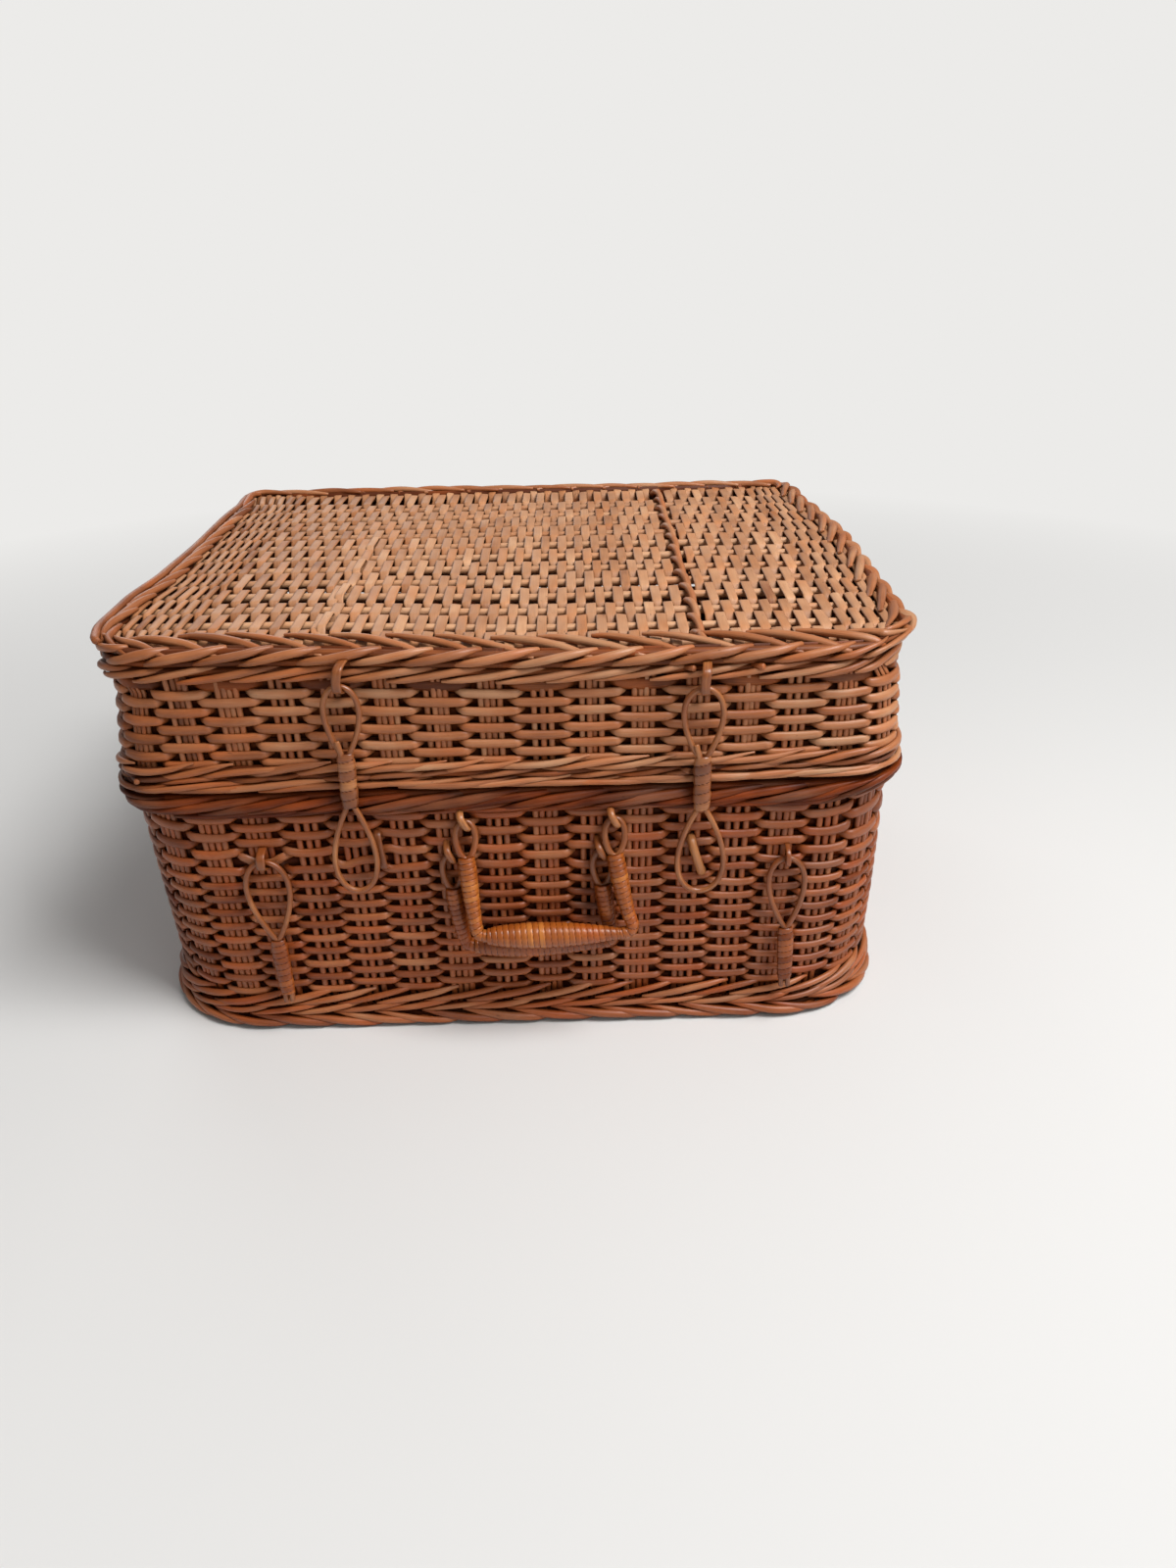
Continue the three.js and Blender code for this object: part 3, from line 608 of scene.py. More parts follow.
LID_TWIST_RODS = [
    (0, -1.5, 6, 0.8), (0.2, 1, 6.8, 1.4), (0.5, 1.6, 7.8, 1.6), (0.8, 0.4, 8.8, 1.4),
    (1, -3, 9.3, 0.9),
]
LID_RIM_RODS = [
    (0, 0.8, 1.6, 0.6), (0.12, 1.8, 2.1, 1.6), (0.5, 2.5, 3.3, 1.8), (0.88, 0.6, 4.5, 1.6),
    (1, -1.8, 5.4, 1.0),
]
BODY_RIM_RODS = [
    (0, 1.4, -11.3, 0.5), (0.1, 2.2, -10.4, 1.5), (0.35, 2.6, -7.8, 2.4), (0.65, 1.8, -5.3, 2.6),
    (0.88, 0.2, -3.5, 2.3), (1, -1.8, -2.9, 1.3),
]
BODY_UNDER_RODS = [
    (0, 0.4, -13.6, 0.6), (0.15, 1, -12.9, 1.3), (0.5, 1.2, -11.3, 1.8), (0.85, 0, -9.8, 1.6),
    (1, -2, -9.2, 1.1),
]
WALE_RODS = [
    (0, 1.2, -2.8, 0.6), (0.12, 2, -1.9, 1.4), (0.45, 2, 1, 1.9), (0.8, 0.8, 4, 1.8),
    (1, -2.2, 5.2, 1.1),
]
FOOT_UPPER_RODS = [
    (0, 1.6, 8.7, 0.8), (0.15, 2.8, 9.8, 1.4), (0.5, 3.4, 11.3, 1.7), (0.85, 2, 13.2, 1.6),
    (1, -0.8, 14.2, 1.0),
]
FOOT_LOWER_RODS = [
    (0, 0.8, 8.3, 1.1), (0.15, 2.8, 7.2, 1.9), (0.5, 4.9, 4.6, 2.2), (0.85, 4.2, 2.5, 2.1),
    (1, -0.5, 2.2, 1.4),
]
FOOT_UNDER_RODS = [(0, 1, 2.3, 1.6), (0.5, -4.5, 2.3, 2.2), (1, -12, 3.6, 1.5)]


# ---- Panels: sticks across, strips from front to back

STICK = 2.3  # half thickness of a panel's sticks
STRIP_STEP, ROUND_STEP = 5.1, 3.45  # from one strip to the next, for flat and for round ones
STRIP_WIDTHS, ROUND_WIDTHS = (5.2, 5.8), (4.3, 4.7)
STRIP_HALF, ROUND_HALF = 0.5, 0.9  # half thicknesses
TWINE_SWING = 2.2  # of the twine's rods to the side
EDGE_BEND, EDGE_WIDTH = 3.5, 9  # how far strips bend down into the front border, and over what length
OPEN_SHIFT, OPEN_DIP, OPEN_NARROWING = 7.0, 0.9, 0.95  # of a strip where an open row is fully open
UNDER_SHADE = 0.35  # painted shade: how much darker strips are where they dive under the sticks


class Panel:
    """A panel of sticks along x, and of strips that pass over and under them."""

    def __init__(self, half_x, front, back, corner, axis, rows):
        self.half_x, self.front, self.back, self.corner = half_x, front, back, corner
        self.axis, self.rows = axis, np.array(rows)
        self.pitch = rows[1] - rows[0]

    def cut(self, into):
        """How much a corner takes away, this far into it."""
        into = np.clip(into, 0, self.corner)
        return self.corner - np.sqrt(self.corner**2 - into**2)

    def add_sticks(self, strands, tones):
        for y in self.rows:
            edge = self.back if y > 0 else self.front
            reach = self.half_x - self.cut(abs(y) - edge + self.corner)
            x = np.linspace(-reach, reach, 90)
            wander = rounded(rng.uniform(-0.9, 0.9, len(x)), 17)
            size = STICK * np.linspace(1.06, 0.92, len(x))[:: rng.choice([-1, 1])]
            size = size * rounded(rng.uniform(0.95, 1.05, len(x)), 9)
            path = np.column_stack([x, y + wander, self.axis + 0.4 * wander])
            strands.add(path, Y, size, size, rng.uniform(*tones))

    def strip_path(self, x, place, half_thick, opened=None, end=math.inf):
        """Along a strip, from the front to its end. Place is its number, and opened makes its dives
        slower and deeper at open rows."""
        cut = self.cut(abs(x) - self.half_x + self.corner)
        low, high = cut - self.front, min(self.back - cut, end)
        y = np.linspace(low, high, int((high - low) / self.pitch * 12) + 2)
        open_here, shift, dip = np.full(len(y), 0.4), 0.0, 0.0
        if opened:
            open_here = opened(x, y)
            shift, dip = OPEN_SHIFT * open_here, OPEN_DIP * open_here
        phase = math.pi * ((y + shift - self.rows[0]) / self.pitch + place)
        wave = over_and_under(phase, 0.32 - 0.25 * open_here, 0.5 - 0.15 * open_here)
        wave = np.where(wave < 0, wave * (1 + dip), wave)
        wander = rounded(rng.uniform(-0.6, 0.6, len(y)), 17)
        bent = EDGE_BEND * ease(-y, self.front - EDGE_WIDTH, self.front)
        return np.column_stack([x + wander, y, self.axis + (STICK + half_thick) * wave - bent])

    def add_strips(self, strands, columns, tones, opened=None):
        """Columns are places, widths and half thicknesses. Opened narrows strips at open rows."""
        for number, (x, wide, half_thick) in enumerate(columns):
            path = self.strip_path(x, number, half_thick, opened)
            below = self.axis - path[:, 2]
            level = np.clip(np.abs(below) / (STICK + half_thick), 0, 1)
            swell = rounded(rng.uniform(0.86, 1.12, len(path)), 15) * (0.84 + 0.18 * level)
            if opened:
                under = np.clip(0.3 + below / STICK, 0, 1)
                swell = swell * (1 - OPEN_NARROWING * opened(x, path[:, 1]) * under)
            lean = rng.uniform(-0.12, 0.12)
            width = np.array([math.cos(lean), 0, math.sin(lean)])
            tone = rng.uniform(*tones) + rounded(rng.uniform(-0.45, 0.45, len(path)), 25)
            # Painted shade where a strip dives below the sticks.
            tone = tone - UNDER_SHADE * np.clip(below / STICK, 0, 1)
            square = 1.0 if half_thick == ROUND_HALF else 0.5
            strands.add(path, width, wide / 2 * swell, half_thick, tone, square=square)

    def add_twine(self, strands, x, radius, tones):
        """Two rods twisted round each other and the sticks."""
        y = np.linspace(3 - self.front, self.back - 3, 160)
        for strand in range(2):
            phase = math.pi * ((y - self.rows[0]) / self.pitch + strand)
            wander = x + 0.5 * np.sin(y / 17) - TWINE_SWING * np.sin(phase)
            path = np.column_stack([wander, y, self.axis + (STICK + radius) * np.cos(phase)])
            strands.add(path, X, radius, radius, rng.uniform(*tones))


def strip_columns(half_x, left, right):
    """Flat strips from left to right, and round narrow ones beyond them at both ends."""
    columns = []
    x = -half_x
    while x < half_x - 2:
        if left <= x < right:
            step, widths, half_thick = STRIP_STEP, STRIP_WIDTHS, STRIP_HALF
        else:
            step, widths, half_thick = ROUND_STEP, ROUND_WIDTHS, ROUND_HALF
        columns.append((x + step / 2, rng.uniform(*widths), half_thick))
        x += step
    return columns


# Middle of the row, its left and right end, and how open it is.
OPEN_ROWS = [
    (-84, -158, 158, 1.0), (-59, -158, -95, 0.9), (-59, -25, 92, 0.6), (-35, -70, 25, 0.8),
    (-11, -30, 90, 0.7), (13, 12, 170, 0.6), (62, -155, -20, 0.4), (86, -155, -20, 0.5),
    (111, -90, 60, 0.7), (136, -120, 110, 1.0), (-132, -92, -60, 0.8),
]


OPEN_HALF = 11  # from the middle of an open row to where the weave is close again


def open_rows(x, y):
    """How open the lid's panel is, from 0 to 1."""
    here = [(row, share) for row, low, high, share in OPEN_ROWS if low < x < high]
    parts = [share * np.exp(-(((y - row) / OPEN_HALF) ** 4)) for row, share in here]
    return np.max(parts, axis=0) if parts else np.zeros(len(y))


# ---- Canes: loops, staples and wrappings

CANE_HALF = 1.45
RINGS_PER_TURN = 14  # of a wrapping
GROOVE = 0.3  # of a ridge's height, below which a wrapping is dark: painted shade in the grooves between turns


def spline(points, per_span=8):
    """A smooth path through points."""
    points = np.asarray(points, float)
    knots = np.vstack([points[:1], points, points[-1:]])
    path = []
    for a, b, c, d in zip(knots, knots[1:], knots[2:], knots[3:]):
        for t in np.arange(per_span) / per_span:
            line = 2 * b + (c - a) * t
            path.append(0.5 * (line + (2 * a - 5 * b + 4 * c - d) * t**2 + (3 * b - a - 3 * c + d) * t**3))
    path.append(points[-1])
    return np.array(path)


def add_wrap(strands, path, facing, half_wide, half_thick, turn, depth, tones, sides=24):
    """Flat cane wound along a path: each turn is a low ridge with its own tone. Facing is the normal
    of the plane that the path lies in; the half sizes are given at even shares of the path."""
    length = lengths(path)
    rows = max(int(length[-1] / turn * RINGS_PER_TURN), 8)
    at = np.linspace(0, length[-1], rows)
    share = at / length[-1]
    middle = np.column_stack([np.interp(at, length, path[:, i]) for i in range(3)])
    facing = np.broadcast_to(unit(np.asarray(facing, float)), middle.shape)
    side = unit(np.cross(travel(middle), facing))
    wide = np.interp(share, np.linspace(0, 1, len(half_wide)), half_wide)[:, None]
    thick = np.interp(share, np.linspace(0, 1, len(half_thick)), half_thick)[:, None]
    angle = np.arange(sides) * TAU / sides
    turns = at[:, None] / turn + angle[None] / TAU
    phase = turns - np.floor(turns)
    ridge = (1 - np.abs(2 * phase - 1) ** 5) + 0.25 * phase
    number = np.floor(turns).astype(int) + 1
    shades = rng.uniform(*tones, number.max() + 2)
    sunk = depth * (ridge - 1)
    sideways = ((wide + sunk) * np.cos(angle))[..., None]
    outwards = ((thick + sunk) * np.sin(angle))[..., None]
    rings = middle[:, None] + side[:, None] * sideways + facing[:, None] * outwards
    along = np.broadcast_to(at[:, None], turns.shape)
    grain = np.stack([angle[None] * wide, along, turns * 0], axis=-1)
    # The grooves between turns get painted shade.
    strands.add_rings(rings, grain, shades[number] - 1.0 * (ridge < GROOVE))


INNER_SHIFT = np.array([3.0, 0, 0])  # of the inner handle and its staples, along their axis


def shifted(rank):
    """The warp of a handle's pieces."""
    return (lambda points: points + INNER_SHIFT) if rank == "inner" else None


class Hanging:
    """Places on a piece that hangs from its joint: x to the right, down along it, and out of its plane."""

    def __init__(self, joint, lower_node, straight=False):
        self.origin = joint_mm(joint)
        towards = middle_mm(lower_node) - self.origin
        if straight:
            towards[0] = 0
        self.down = unit(towards)
        self.slope = abs(self.down[2])
        self.out = unit(np.cross(self.down, X))
        self.right = np.cross(self.out, self.down)

    def fall(self, z):
        """How far below the joint a height lies."""
        return self.origin[2] - z

    def place(self, x, down, out=0.0):
        x, down, out = (v[..., None] for v in np.broadcast_arrays(np.asarray(x, float), down, out))
        return self.origin + x * self.right + down * self.down + out * self.out


def loop_outline(length, width):
    """One side of a bent loop, from its round end to where its canes meet: x and distance down."""
    t = np.linspace(0, math.pi, 26)
    return width / 2 * 1.3 * np.sin(t) * np.cos(t / 2), length * (1 - np.cos(t)) / 2


# Half widths and half thicknesses of the bindings, from top to bottom.
HASP_BINDING = ([3.9, 4.5, 4.6, 4.4, 4.2, 4.6, 4.3, 3.7], [2.5, 3.0, 3.0, 2.6, 2.9, 3.0, 2.8, 2.3])
PEG_BINDING = ([3.7, 4.3, 4.4, 4.3, 4.2, 4.1, 4.0, 3.6], [2.4, 2.9, 3.0, 2.9, 2.8, 2.8, 2.7, 2.3])


def add_binding(body, look, hang, reach, sizes, turn, depth, tones):
    """The wrapping round the canes of a hanging piece."""
    bound = Strands()
    path = hang.place(np.zeros(9), np.linspace(*reach, 9))
    add_wrap(bound, path, hang.out, *sizes, turn, depth, tones)
    bound.build(f"{body}_wrapping", body, look, f"{body}_binding")


def add_hasp(side):
    """A figure of eight of split cane, bound at the seam."""
    hasp = f"hasp_{side}"
    hang = Hanging(f"{hasp}_swing", f"{hasp}_binding")
    binding_low, binding_high = box_mm(f"{hasp}_binding")
    upper, lower_start = hang.fall(binding_high[2]), hang.fall(binding_low[2])
    lower = binding_low[2] - box_mm(f"{hasp}_loop")[0][2] - CANE_HALF
    wide = width_of(f"{hasp}_loop") - 2 * CANE_HALF
    upper_x, upper_down = loop_outline(upper + 3, wide * 0.82)
    lower_x, lower_down = loop_outline(lower + 3, wide * 1.02)
    neck = np.full(3, 1.2)
    x = np.concatenate([-upper_x[::-1][:-1], upper_x, neck, lower_x[::-1], -lower_x[1:], -neck])
    middle = np.linspace(upper + 6, lower_start - 6, 3)
    lower_down = lower_start + lower - np.concatenate([lower_down[::-1], lower_down[1:]])
    down = np.concatenate([upper_down[::-1][:-1], upper_down, middle, lower_down, middle[::-1]])
    padded = np.pad(hang.place(x, down), ((2, 2), (0, 0)), mode="wrap")
    smooth = np.column_stack([np.convolve(padded[:, i], np.ones(5) / 5, "valid") for i in range(3)])
    loop = Strands()
    loop.add(smooth, -hang.out, 1.4, 1.5, 0.7, closed=True)
    stub = [(-3.4, upper - 7.5, 1.2), (-2.2, upper - 3, 1.6), (-1, upper + 3, 1.2)]
    loop.add(spline([hang.place(*point) for point in stub]), hang.right, 1.5, 0.9, 0.75)
    loop.build(f"{hasp}_cane", hasp, CANE, f"{hasp}_loop")
    reach = (upper - 1, lower_start + 0.5)
    add_binding(hasp, CANE, hang, reach, HASP_BINDING, 5.2, 0.5, (0.3, 0.8))


def add_peg(side):
    """A loop of split cane with a bound stem, its two ends cut off bare."""
    peg = f"peg_{side}"
    hang = Hanging(f"{peg}_swing", f"{peg}_binding")
    binding_low, binding_high = box_mm(f"{peg}_binding")
    loop_length = hang.fall(binding_high[2]) / hang.slope + 0.5
    stem_end = hang.fall(binding_low[2]) / hang.slope
    total = hang.fall(box_mm(f"{peg}_loop")[0][2]) / hang.slope
    loop_x, loop_down = loop_outline(loop_length, (width_of(f"{peg}_loop") - 2 * CANE_HALF) * 0.98)
    x = np.concatenate([[-1.7, -1.6, -1.5], -loop_x[::-1][:-1], loop_x, [1.5, 1.6, 1.7]])
    tail = np.array([total, stem_end, loop_length + 5])
    down = np.concatenate([tail, loop_down[::-1][:-1], loop_down, tail[::-1]])
    loop = Strands()
    loop.add(spline(hang.place(x, down)[::2], 4), -hang.out, CANE_HALF, CANE_HALF * 1.05, 0.6)
    loop.build(f"{peg}_cane", peg, CANE, f"{peg}_loop")
    add_binding(peg, WRAP, hang, (loop_length - 1, stem_end), PEG_BINDING, 3.6, 0.4, (0.2, 0.5))


EYE_HEIGHT, EYE_HALF = 20.0, 5.0
GRIP_TO_CORNER = 6.3  # along the width
LEG_SIZES = [4.3, 4.7, 4.6, 4.4, 4.1, 3.8, 3.5, 3.3, 3.2]


def add_handle(rank, tones):
    """Two eyes of split cane, two wrapped legs and a wrapped spindle."""
    handle = f"handle_{rank}"
    hang = Hanging(f"{handle}_swing", f"{handle}_grip", straight=True)
    grip_low, grip_high = box_mm(f"{handle}_grip")
    length = hang.fall((grip_low[2] + grip_high[2]) / 2) / hang.slope
    eyes = [middle_mm(f"{handle}_staple_{side}")[0] - hang.origin[0] for side in ("left", "right")]
    corners = (grip_low[0] - GRIP_TO_CORNER - hang.origin[0], grip_high[0] + GRIP_TO_CORNER - hang.origin[0])
    frame_canes = Strands()
    for eye in eyes:
        t = np.linspace(0, TAU, 33)[:-1]
        x = eye + EYE_HALF * np.sin(t) * (1 + 0.2 * np.cos(t))
        down = EYE_HEIGHT * (1 - np.cos(t)) / 2
        frame_canes.add(hang.place(x, down), -hang.out, 1.5, 1.75, tones[0] + 0.15, closed=True)
    frame_canes.build(f"{handle}_canes", handle, CANE, f"{handle}_frame", warp=shifted(rank))
    for eye, corner, side in zip(eyes, corners, ("left", "right")):
        inward = np.sign(corners[0] + corners[1] - 2 * corner)
        points = [
            (eye, EYE_HEIGHT - 1),
            (eye + (corner - eye) * 0.3, EYE_HEIGHT + (length - EYE_HEIGHT) * 0.33),
            (eye + (corner - eye) * 0.7, EYE_HEIGHT + (length - EYE_HEIGHT) * 0.7),
            (corner, length - 5),
            (corner + inward * 1.6, length - 1.2),
            (corner + inward * 6.5, length),
        ]
        path = spline([hang.place(*point) for point in points])
        leg = Strands()
        add_wrap(leg, path, hang.out, LEG_SIZES, LEG_SIZES, 3.0, 0.45, tones)
        leg.build(f"{handle}_leg_{side}", handle, WRAP, f"{handle}_leg_wrap_{side}", warp=shifted(rank))
    grip = Strands()
    path = hang.place(np.linspace(corners[0] + 5.5, corners[1] - 5.5, 9), length)
    share = np.linspace(0, 1, 15)
    sizes = 4.2 - 1.4 * share + 3.2 * np.sin(share**0.85 * math.pi) ** 0.9
    add_wrap(grip, path, hang.out, sizes, sizes, 3.1, 0.45, tones, sides=28)
    grip.build(f"{handle}_spindle", handle, WRAP, f"{handle}_grip", warp=shifted(rank))


INSIDE = -160  # y at which staples end, inside the wall
BEND = -166  # y at which they turn down into it


def add_strip(name, body, node, z, points, half_wide, half_thick, tone, square=1.0, warp=None):
    """A piece that is one bent strip of cane. A point is x from the node's middle, y, and height over
    z. A y of 0 or more is measured back from the node's front."""
    x, front = middle_mm(node)[0], box_mm(node)[0][1]
    places = [(x + dx, front + y if y >= 0 else y, z + dz) for dx, y, dz in points]
    strip = Strands()
    strip.add(spline(places, 5), X, half_wide, half_thick, tone, square=square)
    strip.build(name, body, CANE, node, warp=warp)


PEG_TAB = [(0, INSIDE, 6.5), (0, BEND, 6.5), (0, 1.8, 4.5), (0, 0.5, 1), (0, 1.2, -2.4), (1, BEND - 1, -3.8),
           (1, INSIDE, -4)]
STAPLE = [(-2.2, INSIDE, 6), (-2.2, BEND - 0.5, 5.8), (-1.6, 1.4, 3.6), (0, 0.9, 0), (1.4, 2.2, -3),
          (2, BEND - 1, -4), (2, INSIDE, -4)]


def add_staples():
    """Arches of split cane that carry the hanging pieces, and the two catches."""
    for side in ("left", "right"):
        left = side == "left"
        z = joint_mm(f"hasp_{side}_swing")[2]
        skew = 3.0 if left else 1.5
        tab = [(skew, INSIDE, 11), (skew, BEND - 2, 11.5), (skew * 0.4, 1.5, 9.5), (0, 0.4, 4), (0, 0.6, 0),
               (0.5, 3.2, -2.8), (1.5, BEND, -3.6), (1.5, INSIDE, -3.8)]
        add_strip(f"hasp_{side}_tab", "lid", f"hasp_{side}_staple", z, tab, 2.3, 0.65, 0.7, square=0.6)
        z = joint_mm(f"peg_{side}_swing")[2]
        sizes = (2.3 if left else 1.3, 0.7, 0.55)
        add_strip(f"peg_{side}_tab", "body", f"peg_{side}_staple", z, PEG_TAB, *sizes, square=0.6)
        node = f"hasp_{side}_catch"
        low, high = box_mm(node)
        z, half = (low[2] + high[2]) / 2, (high[2] - low[2]) / 2
        skew = 1.2 if left else 3.0
        upper = [(-skew, INSIDE, half), (-skew, BEND - 0.5, half), (-skew * 0.7, 1.6, half * 0.7)]
        catch = upper + [(0, 0.8, 0)] + [(-dx, y, -dz) for dx, y, dz in upper[::-1]]
        sizes = (2.2, 0.8, 0.45) if left else (2.3, 2.2, 0.9)
        add_strip(f"catch_{side}_cane", "body", node, z, catch, *sizes, square=0.8)
        for rank in ("outer", "inner"):
            z = joint_mm(f"handle_{rank}_swing")[2]
            name, node = f"handle_{rank}_cane_{side}", f"handle_{rank}_staple_{side}"
            add_strip(name, "body", node, z, STAPLE, 1.9, 1.3, 0.75, warp=shifted(rank))


RING_ROD, RING_TWIST, RING_TURNS = 0.95, 0.75, 9  # half thickness, distance from the middle, turns


def add_hinge_rings():
    """Rings of two rods twisted together, through both borders."""
    for side in ("left", "right"):
        low, high = box_mm(f"hinge_ring_{side}")
        x, y, z = (low + high) / 2
        radius = (high[2] - low[2]) / 2 - 1.5
        t = np.linspace(0, TAU, 97)[:-1]
        ring = Strands()
        for strand in range(2):
            twist = RING_TURNS * t + strand * math.pi
            r = radius + RING_TWIST * np.cos(twist)
            path = np.column_stack([x + RING_TWIST * np.sin(twist), y + r * np.cos(t), z + r * np.sin(t)])
            ring.add(path, X, RING_ROD, RING_ROD, 0.5, closed=True)
        ring.build(f"hinge_{side}_twist", "body", CANE, f"hinge_ring_{side}")


# ---- The basket

BODY_END_SHADE, LID_END_SHADE, PANEL_END_SHADE = (0.12, 0.1), (0.25, 0.0), (0.15, 0.0)  # painted shade: darker left and right ends, where the light falls off
TWINE_X, TWINE_SLIT = 96.2, 4.2  # place of the lid's twine, and half the gap between strips there
BODY_ROWS, BODY_TOP_ROWS = 23 + 4.25 * np.arange(18), 100.2 + 5 * np.arange(7)
LID_ROWS, LID_LAST_ROW = 161.3 + 4.65 * np.arange(9), 203.2
# Fill rods lie inside the borders; their low tone is painted shade in the gaps between the slanting rods.
FILL_OUT, FILL_SIZE, FILL_SHADE_TONE = -1.8, (2.6, 2.4), 0.15
EDGE_OUT, EDGE_TUCK, EDGE_HALF = 3.6, 5.0, 146  # place, end and half length of the lid's left edge rod
# Where rows are pushed apart: arc position, height, by how much, and over what half width.
WEDGES = [
    (-117, 104.5, 3.0, 5), (-140, 105, 3.0, 6), (-87, 105.5, 3.4, 6), (-63, 106.5, 3.2, 4),
    (36, 104, 1.8, 6), (118, 92, 1.8, 7), (-30, 64, 1.2, 6), (150, 60, 1.4, 6),
]


def build_woven(strands, name, *nodes):
    """A piece of a wall or a border, on the lid or the body as its name says."""
    lid = name.startswith("lid")
    body, look, warp, ends = ("lid", LID, slump, LID_END_SHADE) if lid else ("body", BODY, bulge, BODY_END_SHADE)
    strands.build(name, body, look, *nodes, warp=warp, darker=ends)


def add_border(name, node, corner, layers, fill=(), ends=None):
    """A border of slanting rods, with cut ends, and with dark rods laid inside at the fill's heights, whose
    low tone is painted shade in the gaps.
    """
    strands = Strands()
    s = np.linspace(0, LOOP, 301)[:-1]
    for z in fill:
        path, outward, _ = around(s, FILL_OUT, z, corner)
        strands.add(path, outward, *FILL_SIZE, FILL_SHADE_TONE, closed=True)
    for table, reach, base, start, tones in layers:
        add_slanting_rods(strands, table, reach, base, corner, start, tones)
    if ends:
        add_cut_ends(strands, *ends, corner)
    if node == "lid_top_border":
        along = np.linspace(-1, 1.04, 80)
        s = 3 * QUARTER + EDGE_HALF * along
        out = EDGE_OUT - EDGE_TUCK * np.maximum(-along, 0) ** 8
        path, outward, _ = around(s, out, LID_TOP - 1.6 + 0.5 * np.sin(s / 21), corner)
        strands.add(path, outward, 2.3, 2.0, 0.55)
    build_woven(strands, name, node)


def add_body():
    pushed = list(WEDGES)
    for side in ("left", "right"):
        x, _, z = joint_mm(f"peg_{side}_swing")
        pushed.append((x, z + 5, 1.8, 9))
        x, _, z = middle_mm(f"hasp_{side}_catch")
        pushed.append((x, z + 5, 1.2, 9))
    weave = Strands()
    for rows, half_height in ((BODY_ROWS, 2.1), (BODY_TOP_ROWS, 2.4)):
        add_weave(weave, rows, weave_corner, (half_height, 1.5, 0.15, 0.42, 1.5), (0.35, 0.8), pushed)
    build_woven(weave, "body_wall_weave", "body_wall")
    stakes = Strands()
    add_stakes(stakes, FOOT_TOP - 6, BODY_RIM - 4, weave_corner, (3.2, 3.6), 1.5, (0.4, 0.8))
    add_shade_bands(stakes, 9, 141, weave_corner)
    build_woven(stakes, "body_wall_stakes")
    wale = [(WALE_RODS, 1.95, FOOT_TOP, 2, (0.35, 0.8))]
    add_border("foot_wale_rods", "foot_wale", weave_corner, wale)
    foot = [(FOOT_UPPER_RODS, 1.8, 0, 0, (0.45, 0.85)), (FOOT_LOWER_RODS, 2.2, 0, 0, (0.35, 0.8)),
            (FOOT_UNDER_RODS, 2.5, 0, 10, (0.3, 0.7))]
    add_border("foot_border_rods", "foot_border", weave_corner, foot, (3.5, 8.5))
    # The body border's low tones are painted shade under the lid's bottom border.
    rim = [(BODY_RIM_RODS, 2.5, BODY_RIM, 0, (-0.1, 0.3)), (BODY_UNDER_RODS, 2.1, BODY_RIM, 11, (-0.1, 0.3))]
    add_border("body_border_rods", "body_top_border", rim_corner, rim, (BODY_RIM - 3.2, BODY_RIM - 7.6))
    panel = Panel(192, 158, 158, 42, middle_mm("base_panel")[2], np.linspace(-143, 143, 12))
    sticks, strips = Strands(), Strands()
    panel.add_sticks(sticks, (0.3, 0.6))
    sticks.build("base_sticks", "body", PEELED)
    panel.add_strips(strips, strip_columns(192, -192, 192), (0.25, 0.65))
    strips.build("base_strips", "body", PEELED, "base_panel")


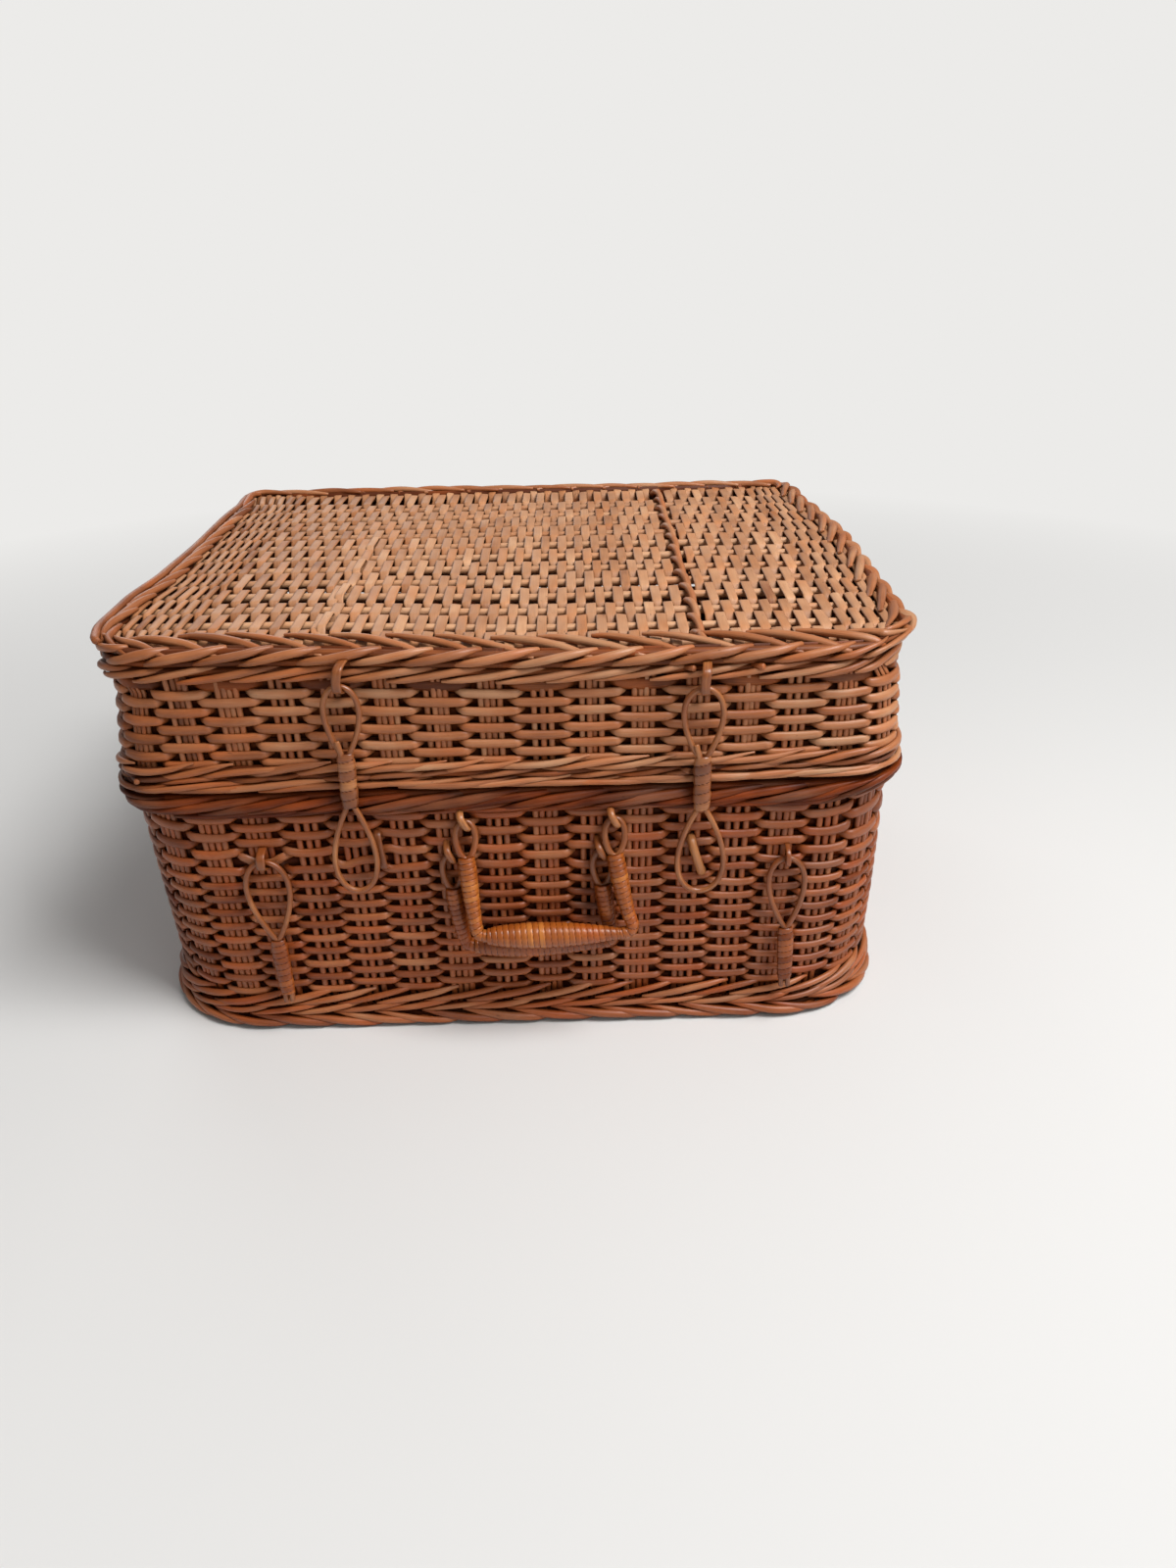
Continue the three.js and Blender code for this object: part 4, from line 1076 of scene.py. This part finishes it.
def add_lid():
    weave = Strands()
    add_weave(weave, LID_ROWS, rim_corner, (2.5, 1.7, 0.28, 0.32, 1.1), (0.4, 0.9))
    add_weave(weave, [LID_LAST_ROW], rim_corner, (3.3, 0.9, 0.35, 0.4, 0.9), (0.05, 0.3), first_row=9)
    build_woven(weave, "lid_wall_weave", "lid_wall")
    stakes = Strands()
    add_stakes(stakes, LID_BOTTOM + 4, LID_TOP - 8, rim_corner, (2.75, 3.0), 1.4, (0.4, 0.8))
    add_shade_bands(stakes, 149, 217, rim_corner)
    build_woven(stakes, "lid_wall_stakes")
    top = [(LID_TOP_RODS, 2.0, LID_TOP, 0, (0.4, 0.85)), (LID_SIDE_RODS, 1.65, LID_TOP, 9, (0.4, 0.85)),
           (LID_WALE_RODS, 2.0, LID_TOP, 3, (0.35, 0.8))]
    fill = (LID_TOP - 5, LID_TOP - 9.5, LID_TOP - 14)
    add_border("lid_top_rods", "lid_top_border", rim_corner, top, fill, (0.12, LID_TOP, -12.5, 1.2))
    bottom = [(LID_UNDER_RODS, 2.0, LID_BOTTOM, 0, (0.4, 0.8)),
              (LID_TWIST_RODS, 1.5, LID_BOTTOM, 7, (0.0, 0.4)),
              (LID_RIM_RODS, 2.7, LID_BOTTOM, 4, (0.35, 0.75))]
    fill = (LID_BOTTOM + 3.5, LID_BOTTOM + 8, LID_BOTTOM + 12)
    add_border("lid_bottom_rods", "lid_bottom_border", rim_corner, bottom, fill, (0.2, LID_BOTTOM, 7.5, 1.2))
    panel = Panel(196, 157, 164, 18, box_mm("lid_panel")[1][2] - 4, np.linspace(-145.6, 145.6, 13))
    sticks, strips, twine = Strands(), Strands(), Strands()
    panel.rows = panel.rows[:-1]  # the strips' last place at the back is open
    panel.add_sticks(sticks, (0.45, 0.85))
    sticks.build("lid_sticks", "lid", PEELED, warp=slump)
    columns = [c for c in strip_columns(196, -161, 165) if abs(c[0] - TWINE_X) > TWINE_SLIT]
    panel.add_strips(strips, columns, (0.4, 0.7), open_rows)
    double = panel.strip_path(-91.5, 1, 2.0, end=60)  # a second strip that strays over its neighbour
    double[:, 0] += 2.6 * ease(double[:, 1], -155, 60)
    strips.add(double, X, 2.3, STRIP_HALF, 0.8, square=0.5)
    strips.build("lid_strips", "lid", PEELED, "lid_panel", warp=slump, darker=PANEL_END_SHADE)
    panel.add_twine(twine, TWINE_X, 2.0, (0.5, 0.75))
    twine.build("lid_twine", "lid", LID, warp=slump)


# ---- Studio

CAMERA_PLACE = (33.2, -666.9, 401.1)  # millimetres
CAMERA_TURN = (27.05, 0.71, -1.02)  # degrees down, to the right, and rolled


def add_camera():
    """The photograph's viewing angle."""
    pitch, yaw, roll = (math.radians(angle) for angle in CAMERA_TURN)
    ahead = Vector((math.sin(yaw) * math.cos(pitch), math.cos(yaw) * math.cos(pitch), -math.sin(pitch)))
    level = Vector((math.cos(yaw), -math.sin(yaw), 0))
    right = math.cos(roll) * level + math.sin(roll) * level.cross(ahead)
    up = right.cross(ahead)
    data = bpy.data.cameras.new("camera")
    data.sensor_width = 36
    data.lens = 25.73
    data.clip_start = 0.02
    camera = bpy.data.objects.new("camera", data)
    turn = Matrix((right, up, -ahead)).transposed().to_4x4()
    camera.matrix_world = Matrix.Translation(Vector(CAMERA_PLACE) * MM) @ turn
    bpy.context.scene.collection.objects.link(camera)
    bpy.context.scene.camera = camera


LAMP_TARGET = Vector((0, 0, 0.1))
LAMPS = [  # name, place, size and power
    ("overhead", (0.85, -0.6, 1.75), 0.9, 40.5),
    ("front", (1.5, -1.8, 1.2), 1.2, 9),
    ("back", (-0.9, 1.9, 1.1), 1.2, 7),
]
AMBIENT = 0.24
BACKDROP = linear(236, 235, 233)
FLOOR_DARK, FLOOR_PALE = linear(214, 213, 211), linear(222, 221, 219)
FLOOR_SIZE, FLOOR_Z = 60, -0.0002  # metres
HAZE = (0.4, 1.2)  # metres from the basket, from where the floor fades to where it is the backdrop


def add_lamp(name, place, size, power):
    data = bpy.data.lights.new(name, "AREA")
    data.size = size
    data.energy = power
    lamp = bpy.data.objects.new(name, data)
    lamp.location = place
    lamp.rotation_euler = (LAMP_TARGET - Vector(place)).to_track_quat("-Z", "Y").to_euler()
    bpy.context.scene.collection.objects.link(lamp)


def add_world():
    """A dim even light, seen by the camera as the backdrop's colour."""
    nodes = Nodes(bpy.data.worlds.new("studio"), "Background")
    nodes.shader.inputs["Color"].default_value = (1, 1, 1, 1)
    nodes.shader.inputs["Strength"].default_value = AMBIENT
    backdrop = nodes.add("ShaderNodeBackground", {"Color": BACKDROP}).outputs[0]
    seen = nodes.add("ShaderNodeLightPath").outputs["Is Camera Ray"]
    mixed = nodes.add("ShaderNodeMixShader", {0: seen, 1: nodes.shader.outputs[0], 2: backdrop})
    nodes.tree.links.new(mixed.outputs[0], nodes.tree.nodes["World Output"].inputs[0])
    bpy.context.scene.world = nodes.owner


def add_floor():
    """A pale floor that fades into the backdrop."""
    nodes = Nodes(bpy.data.materials.new("floor"))
    noise = nodes.add("ShaderNodeTexNoise", {"Scale": 30.0, "Detail": 3.0}).outputs["Fac"]
    nodes.link(nodes.ramp(noise, [(0.3, FLOOR_DARK), (0.7, FLOOR_PALE)]), "Base Color")
    nodes.shader.inputs["Roughness"].default_value = 0.7
    place = nodes.add("ShaderNodeNewGeometry").outputs["Position"]
    far = nodes.add("ShaderNodeVectorMath", {0: place}, operation="LENGTH").outputs["Value"]
    seen = nodes.add("ShaderNodeLightPath").outputs["Is Camera Ray"]
    share = nodes.math("MULTIPLY", nodes.span(far, *HAZE, 0.0, 1.0), seen)
    haze = nodes.add("ShaderNodeEmission", {"Color": BACKDROP}).outputs[0]
    faded = nodes.add("ShaderNodeMixShader", {0: share, 1: nodes.shader.outputs[0], 2: haze})
    nodes.tree.links.new(faded.outputs[0], nodes.tree.nodes["Material Output"].inputs["Surface"])
    bpy.ops.mesh.primitive_plane_add(size=FLOOR_SIZE, location=(0, 0, FLOOR_Z))
    floor = bpy.context.active_object
    floor.name = "floor"
    floor.data.materials.append(nodes.owner)


def add_studio():
    bpy.context.scene.view_settings.view_transform = "Standard"
    add_world()
    add_floor()
    for lamp in LAMPS:
        add_lamp(*lamp)


add_camera()
add_body()
add_lid()
add_staples()
add_hinge_rings()
for hanging_side in ("left", "right"):
    add_hasp(hanging_side)
    add_peg(hanging_side)
add_handle("outer", (0.5, 0.72))
# The inner handle's lower tones are painted shade: it hangs behind the outer one.
add_handle("inner", (0.34, 0.56))
add_studio()
